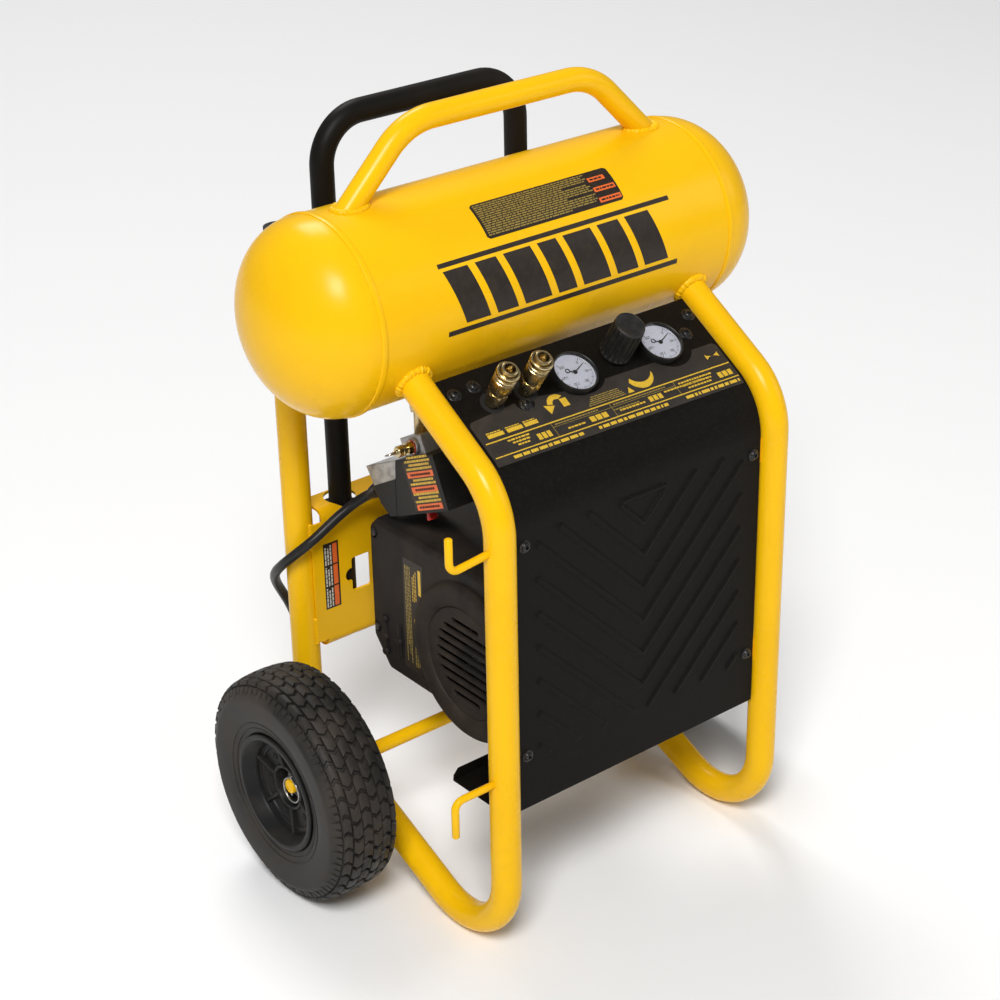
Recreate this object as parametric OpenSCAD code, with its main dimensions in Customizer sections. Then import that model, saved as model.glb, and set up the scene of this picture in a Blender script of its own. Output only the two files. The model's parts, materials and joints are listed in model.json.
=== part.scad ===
// Wheeled portable air compressor: an air tank across the top of two bent side tubes,
// an oil-free pump behind a ribbed front panel, two wheels and a telescoping handle.
// Millimetres, +Z up, +X to the right, the front panel faces -Y.
// Origin on the floor, in the middle of the footprint of tubes and wheels.

/* [Tank] */
// Outer radius of the tank
tank_r = 101.6; // [100:0.2:103]
// Distance from the middle to each head seam
tank_seam_x = 228.6; // [222:0.2:232]
// Depth of each domed head
dome_depth = 74; // [60:0.5:76]
// Height of the tank's axis
tank_z = 666.5; // [660:0.5:675]

/* [Frame] */
// Outer radius of the side tubes
tube_r = 15.9; // [15:0.1:16]
// Distance from the middle to each side tube
frame_x = 183.6; // [183:0.2:186]
// Radius of each bend, at the tube's middle
bend_r = 76; // [70:1:80]
// Distance from the front tubes back to the rear tubes
frame_depth = 349; // [345:1:355]
// Slope of the upper front tube and of the control panel
slope_deg = 32; // [31:0.5:33]
// Slope of the lower tube as it rises to the rear
rise_deg = 24; // [23:0.5:25]
// Height of the top of the rear tubes
rear_top_z = 709; // [700:1:718]

/* [Handles] */
// Outer radius of the carry handle and of the pull handle
grip_r = 12.7; // [12:0.1:13]
// Height of the carry handle's bar
carry_z = 838; // [825:1:850]
// Distance from the middle to each carry handle bend
carry_bend_x = 118; // [110:1:125]
// Height of the pull handle's bar, pushed down
pull_z = 811.5; // [800:0.5:820]
// Distance from the middle to each pull handle leg
pull_x = 127.5; // [126:0.5:129]

/* [Wheels] */
// Radius of the tyres
tyre_r = 129; // [127:0.5:130]
// Width of the tyres
tyre_w = 82; // [78:1:83]
// Distance from the middle to the middle of each tyre
wheel_x = 266; // [265:0.5:269]
// Distance from the front tubes back to the axle
axle_depth = 244.4; // [242:0.2:247]
// Radius of the axle
axle_r = 7.95; // [7.5:0.05:8.2]

/* [Panel] */
// Half width of the front panel between the tubes
panel_half_w = 164.5; // [160:0.5:165]
// Height of the panel's lower edge
panel_bottom_z = 172; // [168:1:176]
// Thickness of the panel sheet
panel_t = 2; // [1.5:0.5:3]

/* [Pump] */
// Distance from the front tubes back to the motor shaft
pump_depth = 95; // [93:1:97]
// Height of the motor shaft
pump_z = 300; // [298:1:303]
// Half of the piston's stroke
crank_throw = 14; // [11:1:14]

/* [Cord] */
// Diameter of the power cord
cord_d = 11; // [9:1:11]

/* [Hidden] */
$fn = 48;

SIDES = [-1, 1];
LEFT = -1;
RIGHT = 1;
SLIDE_FIT = 0.06;
SEAM = 0.02;
SEAM_LIP = 0.05;

YELLOW = [0.95, 0.72, 0.06];
BLACK = [0.06, 0.06, 0.06];
STEEL = [0.68, 0.69, 0.70];
CAST = [0.62, 0.63, 0.65];
BRASS = [0.78, 0.62, 0.28];

// The footprint runs from the front of the front tubes to the back of the tyres.
front_y = -(axle_depth + tyre_r - tube_r) / 2;
rear_y = front_y + frame_depth;
axle_y = front_y + axle_depth;
axle_z = tyre_r;
tank_y = front_y + 214.7;
tank_wall = 3;
knee_z = tank_z - (tank_y - front_y) * tan(slope_deg);
foot_corner_z = tube_r + bend_r - bend_r * tan((90 + rise_deg) / 2);
rear_corner_z = foot_corner_z + frame_depth * tan(rise_deg);
weld_leg = 2.6;
tube_wall = 2;
grip_wall = 1.6;

// ---- swept tubes -------------------------------------------------------------

function unit(v) = v / norm(v);
function heading(a, b) = atan2(b[1] - a[1], b[0] - a[0]);
function wrap(angle) = angle > 180 ? angle - 360 : angle < -180 ? angle + 360 : angle;
function turn_at(path, i) =
    wrap(heading(path[i], path[i + 1]) - heading(path[i - 1], path[i]));
function setback(path, i, bend) =
    i == 0 || i == len(path) - 1 ? 0 : bend * tan(abs(turn_at(path, i)) / 2);

// Short sleeve over the seam between a straight run and a bend
module seam_sleeve(corner, angle, distance, bend, radius, lip) {
    reach = SEAM * bend;
    translate([corner[0], corner[1], 0])
        rotate([0, 0, angle])
            translate([distance - reach, 0, 0])
                rotate([0, 90, 0])
                    cylinder(h = 2 * reach, r = radius + lip);
}

// Round bar along a path in the XY plane, with a bend of one radius at each corner
module flat_tube(path, bend, radius, lip = SEAM_LIP) {
    last = len(path) - 1;
    gap = SEAM * bend / 2;
    for (i = [0 : last - 1]) {
        start = setback(path, i, bend) + (i == 0 ? 0 : gap);
        end = setback(path, i + 1, bend) + (i + 1 == last ? 0 : gap);
        translate([path[i][0], path[i][1], 0])
            rotate([0, 0, heading(path[i], path[i + 1])])
                translate([start, 0, 0])
                    rotate([0, 90, 0])
                        cylinder(h = norm(path[i + 1] - path[i]) - start - end, r = radius);
    }
    for (i = [1 : 1 : last - 1]) {
        turn = turn_at(path, i);
        inward = heading(path[i - 1], path[i]);
        reach = setback(path, i, bend);
        translate([path[i][0], path[i][1], 0])
            rotate([0, 0, inward])
                translate([-reach, sign(turn) * bend, 0])
                    rotate([0, 0, turn > 0 ? -90 : 90 + turn])
                        rotate_extrude(angle = abs(turn))
                            translate([bend, 0])
                                circle(r = radius);
        seam_sleeve(path[i], inward, -reach, bend, radius, lip);
        seam_sleeve(path[i], inward + turn, reach, bend, radius, lip);
    }
}

function lengthen(path, by) = [
    for (i = [0 : len(path) - 1])
        i == 0 ? path[0] + by * unit(path[0] - path[1])
        : i == len(path) - 1 ? path[i] + by * unit(path[i] - path[i - 1])
        : path[i]
];

// The same bar with an open bore all the way through it
module hollow_tube(path, bend, radius, wall) {
    difference() {
        flat_tube(path, bend, radius);
        flat_tube(lengthen(path, 2), bend, radius - wall);
    }
}

// Stand a shape drawn in XY up in the YZ plane, or in the XZ plane
module in_yz(x) {
    translate([x, 0, 0])
        rotate([90, 0, 90])
            children();
}
module in_xz(y) {
    translate([0, y, 0])
        rotate([90, 0, 0])
            children();
}

// Cylinder along X, Y or Z from a start point
module bar_x(at, length, radius) {
    translate(at)
        rotate([0, 90, 0])
            cylinder(h = length, r = radius);
}
module bar_y(at, length, radius) {
    translate(at)
        rotate([-90, 0, 0])
            cylinder(h = length, r = radius);
}
module bar_z(at, length, radius) {
    translate(at)
        cylinder(h = length, r = radius);
}

// Box from its low corner to its high corner
module block(low, high) {
    translate(low)
        cube(high - low);
}

// Frame whose Z axis stands square on the sloping control panel
// across: distance to the right; up_slope: distance up from the knee
module on_slope(across, up_slope) {
    translate([across, front_y, knee_z])
        rotate([slope_deg, 0, 0])
            translate([0, up_slope, 0])
                children();
}

module tank_solid(extra) {
    bar_x([-tank_seam_x, tank_y, tank_z], 2 * tank_seam_x, tank_r + extra);
}

// ---- frame -------------------------------------------------------------------

side_path = [
    [tank_y - (tank_r - 12) * cos(slope_deg), tank_z - (tank_r - 12) * sin(slope_deg)],
    [front_y, knee_z],
    [front_y, foot_corner_z],
    [rear_y, rear_corner_z],
    [rear_y, rear_top_z]
];

module side_tube(side) {
    difference() {
        in_yz(side * frame_x)
            hollow_tube(side_path, bend_r, tube_r, tube_wall);
        tank_solid(0);
    }
}
module side_tube_left() { color(YELLOW) side_tube(LEFT); }
module side_tube_right() { color(YELLOW) side_tube(RIGHT); }

bead_r = 2.2;
module tank_shell() {
    color(YELLOW)
        difference() {
            union() {
                tank_solid(0);
                for (side = SIDES)
                    translate([side * (tank_seam_x - bead_r), tank_y, tank_z])
                        rotate([0, 90, 0])
                            rotate_extrude()
                                translate([tank_r - 0.6, 0])
                                    circle(r = bead_r, $fn = 16);
            }
            bar_x([-tank_seam_x - 1, tank_y, tank_z], 2 * tank_seam_x + 2, tank_r - tank_wall);
        }
}

DOME_STEPS = 18;
function dome_arc(radius, depth) = [
    for (i = [0 : DOME_STEPS]) [radius * cos(90 * i / DOME_STEPS), depth * sin(90 * i / DOME_STEPS)]
];
module tank_head(side) {
    outer = dome_arc(tank_r, dome_depth);
    inner = dome_arc(tank_r - tank_wall, dome_depth - tank_wall);
    translate([side * (tank_seam_x + 0.01), tank_y, tank_z])
        rotate([0, side * 90, 0])
            rotate_extrude($fn = 96)
                polygon(concat(outer, [for (i = [DOME_STEPS : -1 : 0]) inner[i]]));
}
module tank_heads() {
    color(YELLOW)
        for (side = SIDES)
            tank_head(side);
}

carry_foot_z = tank_z + tank_r - 10;
carry_foot_x = carry_bend_x + carry_z - carry_foot_z;
carry_path = [
    [-carry_foot_x, carry_foot_z],
    [-carry_bend_x, carry_z],
    [carry_bend_x, carry_z],
    [carry_foot_x, carry_foot_z]
];
module carry_handle() {
    color(YELLOW)
        difference() {
            in_xz(tank_y)
                flat_tube(carry_path, bend_r, grip_r, 0.15);
            tank_solid(0);
        }
}

// Fillet welds where the side tubes and the carry handle meet the tank
collar_h = 5;
module weld_collars() {
    color(YELLOW)
        difference() {
            union() {
                for (side = SIDES) {
                    translate([side * frame_x, tank_y, tank_z])
                        rotate([slope_deg + 90, 0, 0])
                            translate([0, 0, tank_r - 6])
                                difference() {
                                    cylinder(h = 6 + collar_h, r = tube_r + weld_leg);
                                    cylinder(h = 6 + collar_h, r = tube_r);
                                }
                    translate([side * carry_foot_x, tank_y, carry_foot_z])
                        rotate([0, -side * 45, 0])
                            difference() {
                                cylinder(h = 23 + collar_h, r = grip_r + weld_leg);
                                cylinder(h = 23 + collar_h, r = grip_r);
                            }
                }
            }
            tank_solid(0);
        }
}

// Folded channel between the rear tubes that guides the pull handle
plate_t = 3;
plate_y = rear_y - tube_r - plate_t;
plate_half_w = 179;
flange_half_w = 165;
flange_depth = 39;
plate_low_z = 217;
plate_top_z = 387;
guide_y = rear_y - 1;
latch_z = 298;
module rear_plate() {
    color(YELLOW)
        difference() {
            union() {
                block([-plate_half_w, plate_y, plate_low_z + 6], [plate_half_w, plate_y + plate_t, plate_top_z - 8]);
                block([-flange_half_w, plate_y, plate_low_z], [flange_half_w, plate_y + plate_t, plate_top_z]);
                block([-flange_half_w, plate_y, plate_low_z],
                    [flange_half_w, plate_y + flange_depth, plate_low_z + plate_t]);
                block([-flange_half_w, plate_y, plate_top_z - plate_t],
                    [flange_half_w, plate_y + flange_depth, plate_top_z]);
            }
            for (side = SIDES) {
                bar_z([side * pull_x, guide_y + 1.5, plate_top_z - 10], 20, 18);
                bar_z([side * pull_x, guide_y, plate_low_z - 1], 20, grip_r + 1.9);
                block([side * 173.5 - 6.5, plate_y - 1, 264], [side * 173.5 + 6.5, plate_y + plate_t + 1, 338]);
                block([side * 117 - 12.5, plate_y - 1, latch_z - 21], [side * 117 + 12.5, plate_y + plate_t + 1, latch_z + 20]);
                bar_y([side * 130, plate_y - 1, latch_z], plate_t + 2, 8);
            }
        }
}

// Sliding blocks behind the plate, which hold the legs of the pull handle
guide_low_z = 322;
guide_h = 58;
module handle_guides() {
    color(BLACK)
        difference() {
            for (side = SIDES)
                block([side * pull_x - 17.5, plate_y + plate_t, guide_low_z],
                    [side * pull_x + 17.5, guide_y + 18, guide_low_z + guide_h]);
            for (side = SIDES)
                bar_z([side * pull_x, guide_y, guide_low_z - 1], guide_h + 2, grip_r + SLIDE_FIT);
        }
}

// Caps in the open tops of the rear tubes
module tube_plugs() {
    color(BLACK)
        for (side = SIDES) {
            bar_z([side * frame_x, rear_y, rear_top_z], 3, tube_r);
            bar_z([side * frame_x, rear_y, rear_top_z - 12], 12, tube_r - tube_wall);
        }
}

// Plates welded between the back of the tank and the rear tubes
module tank_saddles() {
    color(YELLOW)
        difference() {
            for (side = SIDES)
                block([side * frame_x - 10, tank_y + 80, tank_z - 28], [side * frame_x + 10, rear_y, tank_z + 28]);
            tank_solid(0);
            for (side = SIDES)
                bar_z([side * frame_x, rear_y, tank_z - 60], 120, tube_r);
        }
}

bracket_t = 8;
module rising_run() {
    in_yz(-frame_x)
        translate([front_y, foot_corner_z, 0])
            rotate([0, 0, rise_deg])
                rotate([0, 90, 0])
                    cylinder(h = 400, r = tube_r);
}
module axle_brackets() {
    color(YELLOW)
        for (side = [0, 1])
            mirror([side, 0, 0])
                difference() {
                    in_yz(-frame_x - bracket_t / 2)
                        linear_extrude(bracket_t)
                            difference() {
                                union() {
                                    translate([axle_y, axle_z])
                                        circle(r = 16);
                                    polygon([
                                        [axle_y - 16, axle_z], [axle_y - 34, axle_z - 55],
                                        [axle_y + 34, axle_z - 22], [axle_y + 16, axle_z]
                                    ]);
                                }
                                translate([axle_y, axle_z])
                                    circle(r = axle_r);
                            }
                    rising_run();
                }
}

axle_end_x = 285;
hub_half = wheel_x - 228;
pin_x = 281;
pin_r = 1.6;
module axle() {
    color(YELLOW)
        difference() {
            bar_x([-axle_end_x, axle_y, axle_z], 2 * axle_end_x, axle_r);
            for (side = SIDES)
                bar_z([side * pin_x, axle_y, axle_z - 20], 40, pin_r);
        }
}

// Inner spacer, outer washer and ring pin that hold each wheel on the axle
washer_t = 1.8;
spacer_r = 11;
ring_drop = 3.2;
hub_out_x = wheel_x + 8;
hub_in_x = wheel_x - hub_half + 0.4;
module axle_pins() {
    color(STEEL)
        for (side = [0, 1])
            mirror([side, 0, 0]) {
                difference() {
                    union() {
                        bar_x([frame_x + bracket_t / 2, axle_y, axle_z], hub_in_x - frame_x - bracket_t / 2 - 0.4, spacer_r);
                        bar_x([hub_out_x + 0.4, axle_y, axle_z], washer_t, 15);
                    }
                    bar_x([frame_x, axle_y, axle_z], 120, axle_r);
                }
                bar_z([pin_x, axle_y, axle_z - 13], 26, pin_r);
                translate([pin_x + 3, axle_y - ring_drop, axle_z - ring_drop])
                    rotate([0, 90, 0])
                        rotate_extrude()
                            translate([14, 0])
                                circle(r = 1.2, $fn = 16);
            }
}

// Two rods on the left tube to wind the cord around
hook_r = 4;
module cord_hooks() {
    out_x = -frame_x - tube_r + 1.5;
    color(YELLOW)
        difference() {
            in_xz(front_y) {
                flat_tube([[out_x, 481], [-245, 476], [-245, 514]], 10, hook_r);
                flat_tube([[out_x, 219], [-247, 219], [-247, 177]], 10, hook_r);
            }
            bar_z([-frame_x, front_y, 150], 400, tube_r);
        }
}

// ---- front panel -------------------------------------------------------------

panel_y = front_y - panel_t / 2;
tray_depth = 88;
tray_half_w = 181.5;
lip_h = 13.5;
slope_end = 143;
rib_pitch = 38.5;
rib_w = 8;
rib_h = 2.2;
rib_low_z = 229;
rib_top_z = 481;
rib_side_x = 137;
RIB_STARTS = [for (i = [0 : 8]) 410 - i * rib_pitch];
coupler_x = [-122, -80];
coupler_s = 100.5;
gauge_x = [-21, 94.5];
gauge_s = 98;
knob_x = 42;
knob_s = 107.5;

// Bent sheet seen from the side: flat front, rolled knee and sloping top
module sheet_profile() {
    bend_start = bend_r * tan((90 - slope_deg) / 2);
    knee_in = bend_r - panel_t / 2;
    translate([front_y - panel_t / 2, panel_bottom_z])
        square([panel_t, knee_z - bend_start - panel_bottom_z]);
    translate([front_y, knee_z])
        rotate([0, 0, slope_deg])
            translate([bend_start, -panel_t / 2])
                square([slope_end - bend_start, panel_t]);
    intersection() {
        translate([front_y + bend_r, knee_z - bend_start])
            difference() {
                circle(r = knee_in + panel_t, $fn = 96);
                circle(r = knee_in, $fn = 96);
            }
        polygon([
            [front_y + bend_r, knee_z - bend_start],
            [front_y - bend_r, knee_z - bend_start],
            [front_y - bend_r, knee_z + bend_r],
            [front_y + bend_r * (1 - sin(slope_deg) * 2), knee_z - bend_start + 2 * bend_r * cos(slope_deg)]
        ]);
    }
}

// Raised rib that climbs at 45 degrees towards one side of the panel
module rib(side, start_z) {
    x0 = max(2, rib_low_z - start_z);
    x1 = min(rib_side_x, rib_top_z - start_z);
    translate([side * x0, panel_y, start_z + x0])
        rotate([0, side > 0 ? -45 : -135, 0])
            rotate([90, 0, 0])
                linear_extrude(rib_h)
                    union() {
                        translate([0, -rib_w / 2])
                            square([(x1 - x0) * sqrt(2), rib_w]);
                        circle(r = rib_w / 2);
                        translate([(x1 - x0) * sqrt(2), 0])
                            circle(r = rib_w / 2);
                    }
}

module front_panel() {
    color(BLACK)
        difference() {
            union() {
                in_yz(-panel_half_w)
                    linear_extrude(2 * panel_half_w)
                        sheet_profile();
                block([-panel_half_w, front_y, panel_bottom_z], [panel_half_w, front_y + 18, panel_bottom_z + panel_t]);
                block([-tray_half_w, front_y + 18, panel_bottom_z],
                    [tray_half_w, front_y + tray_depth, panel_bottom_z + panel_t]);
                in_xz(front_y + tray_depth)
                    linear_extrude(panel_t)
                        polygon([
                            [-tray_half_w, panel_bottom_z], [-tray_half_w, panel_bottom_z + lip_h - 7],
                            [-tray_half_w + 6, panel_bottom_z + lip_h], [tray_half_w - 6, panel_bottom_z + lip_h],
                            [tray_half_w, panel_bottom_z + lip_h - 7], [tray_half_w, panel_bottom_z]
                        ]);
                for (side = SIDES)
                    for (start_z = RIB_STARTS)
                        rib(side, start_z);
                in_xz(panel_y)
                    linear_extrude(rib_h)
                        difference() {
                            polygon([[-40, 483], [40, 483], [0, 444]]);
                            polygon([[-32, 479.5], [32, 479.5], [0, 448.5]]);
                        }
            }
            for (x = coupler_x)
                on_slope(x, coupler_s)
                    translate([0, 0, -10])
                        cylinder(h = 20, r = 9);
            for (x = gauge_x)
                on_slope(x, gauge_s)
                    translate([0, 0, -10])
                        cylinder(h = 20, r = 6);
            on_slope(knob_x, knob_s)
                translate([0, 0, -10])
                    cylinder(h = 20, r = 12);
        }
}

// Tabs on the tubes behind the panel, which take its screws
tab_z = [235, 474];
tab_x = 154;
module panel_tabs() {
    color(YELLOW)
        difference() {
            for (side = [0, 1])
                mirror([side, 0, 0])
                    for (z = tab_z)
                        block([tab_x - 10, front_y + panel_t / 2, z - 14], [frame_x, front_y + panel_t / 2 + 4, z + 14]);
            for (side = SIDES)
                bar_z([side * frame_x, front_y, 100], 450, tube_r);
            for (side = SIDES)
                for (z = tab_z)
                    bar_y([side * tab_x, front_y - 5, z], 20, 2.5);
        }
}

// Round-headed screw standing on the XY plane
module button_screw(head_r, shank_r, shank) {
    difference() {
        union() {
            cylinder(h = head_r * 0.28, r = head_r);
            translate([0, 0, head_r * 0.28])
                cylinder(h = head_r * 0.3, r1 = head_r, r2 = head_r * 0.6);
        }
        translate([0, 0, head_r * 0.2])
            cylinder(h = head_r, r = head_r * 0.36, $fn = 6);
    }
    if (shank > 0)
        translate([0, 0, -shank])
            cylinder(h = shank, r = shank_r);
}
SLOPE_SCREWS = [[-154, 122], [-129, 124], [-89, 86.5], [156, 122], [137, 102]];
module panel_screws() {
    color(BLACK) {
        for (side = SIDES)
            for (z = tab_z)
                translate([side * tab_x, panel_y, z])
                    rotate([90, 0, 0])
                        button_screw(5.5, 2.5, 0);
        for (at = SLOPE_SCREWS)
            on_slope(at[0], at[1])
                translate([0, 0, panel_t / 2])
                    button_screw(5, 2.5, 0);
    }
}

// ---- controls on the slope ---------------------------------------------------

rail_low = -36;
rail_high = -10;
module outlet_manifold() {
    color(CAST)
        difference() {
            union() {
                on_slope(0, 98)
                    block([-142, -13, rail_low], [108, 13, rail_high]);
                on_slope(knob_x, knob_s)
                    translate([0, 0, rail_high])
                        cylinder(h = 12, r = 11);
                on_slope(knob_x, knob_s)
                    translate([0, 0, rail_low - 20])
                        cylinder(h = 21, r = 16);
            }
            for (x = coupler_x)
                on_slope(x, coupler_s)
                    translate([0, 0, rail_low + 8])
                        cylinder(h = 40, r = 6.5);
            for (x = gauge_x)
                on_slope(x, gauge_s)
                    translate([0, 0, rail_low + 8])
                        cylinder(h = 40, r = 4.5);
            on_slope(knob_x, knob_s)
                translate([0, 0, -6])
                    cylinder(h = 30, r = 5);
        }
}

socket_r = 6.1;
socket_depth = 22;
coupler_top = 56;
sleeve_r = 12.2;
body_r = 9.2;
module coupler_bodies() {
    color(BRASS)
        for (x = coupler_x)
            on_slope(x, coupler_s)
                difference() {
                    union() {
                        translate([0, 0, rail_high - 14])
                            cylinder(h = 12 - rail_high + 4, r = 6.5);
                        translate([0, 0, 2])
                            cylinder(h = 13, r = 11.5, $fn = 6);
                        translate([0, 0, 15])
                            cylinder(h = 33, r = body_r);
                        translate([0, 0, 48])
                            cylinder(h = coupler_top - 48, r = body_r - 0.9);
                    }
                    translate([0, 0, coupler_top - socket_depth])
                        cylinder(h = socket_depth + 1, r = socket_r);
                    translate([0, 0, rail_high - 15])
                        cylinder(h = coupler_top - rail_high, r = 3.4);
                }
}
module coupler_sleeve(x) {
    on_slope(x, coupler_s)
        difference() {
            union() {
                translate([0, 0, 24])
                    cylinder(h = 8, r = sleeve_r - 1);
                for (i = [0 : 3])
                    translate([0, 0, 32 + i * 5])
                        cylinder(h = 3.4, r = sleeve_r);
                translate([0, 0, 32])
                    cylinder(h = 20, r = sleeve_r - 1.2);
            }
            translate([0, 0, 20])
                cylinder(h = 40, r = body_r + SLIDE_FIT);
        }
}
module sleeve_left() { color(BRASS) coupler_sleeve(coupler_x[0]); }
module sleeve_right() { color(BRASS) coupler_sleeve(coupler_x[1]); }

case_r = 24.5;
case_top = 12.5;
dial_h = 8.5;
module gauge_cases() {
    color(BLACK)
        for (x = gauge_x)
            on_slope(x, gauge_s)
                difference() {
                    union() {
                        translate([0, 0, 3])
                            cylinder(h = case_top - 3, r = case_r - 0.8);
                        translate([0, 0, case_top - 5])
                            cylinder(h = 5, r = case_r);
                        translate([0, 0, rail_high - 6])
                            cylinder(h = 21, r = 4.5);
                    }
                    translate([0, 0, dial_h - 1.5])
                        cylinder(h = 20, r = case_r - 2.2);
                }
}
module gauge_dials() {
    color([0.93, 0.93, 0.9])
        for (x = gauge_x)
            on_slope(x, gauge_s)
                translate([0, 0, dial_h - 1.5])
                    difference() {
                        cylinder(h = 1.5, r = case_r - 2.2);
                        cylinder(h = 3, r = 1.0);
                    }
}
module gauge_lenses() {
    color([0.8, 0.88, 0.92, 0.35])
        for (x = gauge_x)
            on_slope(x, gauge_s)
                translate([0, 0, case_top - 1.8])
                    cylinder(h = 1.4, r = case_r - 2.2);
}
module needle(x) {
    on_slope(x, gauge_s)
        translate([0, 0, dial_h - 1.2])
            rotate([0, 0, -66]) {
                cylinder(h = 2.2, r = 0.95);
                translate([0, 0, 1.6]) {
                    cylinder(h = 0.8, r = 2.6);
                    linear_extrude(0.8)
                        polygon([[-1.4, -6], [1.4, -6], [0.4, 18], [-0.4, 18]]);
                }
            }
}
module needle_left() { color(BLACK) needle(gauge_x[0]); }
module needle_right() { color(BLACK) needle(gauge_x[1]); }

knob_r = 17;
KNOB_GROOVES = 18;
module regulator_knob() {
    color(BLACK)
        on_slope(knob_x, knob_s)
            difference() {
                union() {
                    translate([0, 0, 3.4])
                        cylinder(h = 40.6, r = knob_r);
                    translate([0, 0, 44])
                        cylinder(h = 4, r1 = knob_r, r2 = knob_r - 2.5);
                    translate([0, 0, -5.6])
                        cylinder(h = 10, r = 5 - SLIDE_FIT);
                }
                for (i = [0 : KNOB_GROOVES - 1])
                    rotate([0, 0, i * 360 / KNOB_GROOVES])
                        translate([knob_r + 0.6, 0, 9])
                            cylinder(h = 60, r = 1.7, $fn = 16);
            }
}

// ---- pressure switch ---------------------------------------------------------

switch_tilt = -24.5;
module at_switch() {
    translate([-114, front_y + 187.8, 464.2])
        rotate([switch_tilt, 0, 0])
            children();
}
// Shape drawn in the switch's own YZ plane, stretched across X
module across_switch(half_w) {
    rotate([90, 0, 90])
        translate([0, 0, -half_w])
            linear_extrude(2 * half_w)
                children();
}
cover_half = [28, 46, 29.5];
cover_wall = 2.2;
back_top = 28;
back_low = 58;
lever_x = -14;
lever_y = 8;
module cover_side(gap) {
    polygon([
        [-cover_half[1], -cover_half[2]], [-cover_half[1], cover_half[2]],
        [back_top - gap, cover_half[2]], [back_low - gap, -cover_half[2]]
    ]);
}
module switch_cover() {
    color(BLACK)
        at_switch()
            difference() {
                across_switch(cover_half[0])
                    cover_side(3.4);
                across_switch(cover_half[0] - cover_wall)
                    polygon([
                        [-cover_half[1] + cover_wall, -cover_half[2] + cover_wall],
                        [-cover_half[1] + cover_wall, cover_half[2] - cover_wall],
                        [back_top + 4, cover_half[2] - cover_wall],
                        [back_low + 4, -cover_half[2] + cover_wall]
                    ]);
                block([lever_x - 11.5, lever_y - 4, -cover_half[2] - 1],
                    [lever_x + 11.5, lever_y + 4, -cover_half[2] + 10]);
            }
}
// Metal base behind the cover: a channel, open below, that carries the contacts and the cord
relief_tilt = atan(8.5 / 42);
module switch_base() {
    color(STEEL)
        at_switch() {
            difference() {
                across_switch(cover_half[0])
                    polygon([
                        [back_low - 3.3, -cover_half[2]], [back_top - 3.3, cover_half[2]],
                        [83.5, 28], [75, -14], [back_low + 6, -cover_half[2]]
                    ]);
                across_switch(cover_half[0] - 2)
                    polygon([
                        [back_low, -40], [back_low, -cover_half[2]], [back_top + 1.2, cover_half[2] - 2.4],
                        [81, 25.7], [73, -14], [back_low + 5, -40]
                    ]);
            }
            block([-16, -4, -8], [16, 33, 18]);
            block([-12, -4, 17.9], [12, 20, cover_half[2] - cover_wall - 0.2]);
        }
}
module switch_lever() {
    color([0.75, 0.1, 0.08])
        at_switch()
            translate([lever_x, lever_y - 3, -cover_half[2] + 12])
                rotate([-90, 0, 0])
                    linear_extrude(6) {
                        circle(r = 5);
                        polygon([[-2.8, 0], [2.8, 0], [4.2, 22], [-4.2, 22]]);
                    }
}
module strain_relief() {
    color(BLACK)
        at_switch()
            translate([-14, 78.35, 2.2])
                rotate([-90 - relief_tilt, 0, 0]) {
                    cylinder(h = 7, r = 12);
                    translate([0, 0, 7])
                        cylinder(h = 6, r = 10);
                    translate([0, 0, 13])
                        cylinder(h = 18, r1 = 9.5, r2 = cord_d / 2 + 1.2);
                }
}

// Cast block on top of the switch, with the nipple that hangs it from the tank
block_low = cover_half[2] + 0.2;
nipple_x = -112;
valve_y = -4;
module manifold() {
    color(CAST)
        at_switch()
            difference() {
                union() {
                    block([-18, -16, block_low], [16, 22, block_low + 20]);
                    translate([-18, valve_y, block_low + 10])
                        rotate([0, -90, 0])
                            cylinder(h = 4, r = 9);
                }
                translate([-23, valve_y, block_low + 10])
                    rotate([0, 90, 0])
                        cylinder(h = 12, r = 5);
            }
}
check_x = 60;
module check_valve() {
    color(BRASS)
        difference() {
            union() {
                bar_z([nipple_x, tank_y, 503], 78, 8);
                bar_z([check_x, tank_y, 540], 45, 10);
                translate([check_x, tank_y, 528])
                    cylinder(h = 18, r = 13, $fn = 6);
                translate([nipple_x, tank_y, 533])
                    cylinder(h = 16, r = 13, $fn = 6);
            }
            tank_solid(0);
            bar_z([check_x, tank_y, 520], 20, 4.9);
        }
}

module at_valve() {
    at_switch()
        translate([-22, valve_y, block_low + 10])
            rotate([0, -90, 0])
                children();
}
module safety_valve() {
    color(BRASS)
        at_valve()
            difference() {
                union() {
                    translate([0, 0, -8])
                        cylinder(h = 9, r = 5);
                    cylinder(h = 7, r = 7, $fn = 6);
                    translate([0, 0, 7])
                        cylinder(h = 3, r = 4.6);
                    translate([0, 0, 10])
                        cylinder(h = 9, r = 6);
                }
                translate([0, 0, 4])
                    cylinder(h = 20, r = 2.2);
            }
}
module relief_ring() {
    color(STEEL)
        at_valve() {
            translate([0, 0, 4.6])
                cylinder(h = 20, r = 2.2 - SLIDE_FIT);
            translate([0, 0, 28])
                rotate([90, 0, 0])
                    rotate_extrude()
                        translate([4.6, 0])
                            circle(r = 0.9, $fn = 16);
        }
}

// ---- pump --------------------------------------------------------------------

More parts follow.
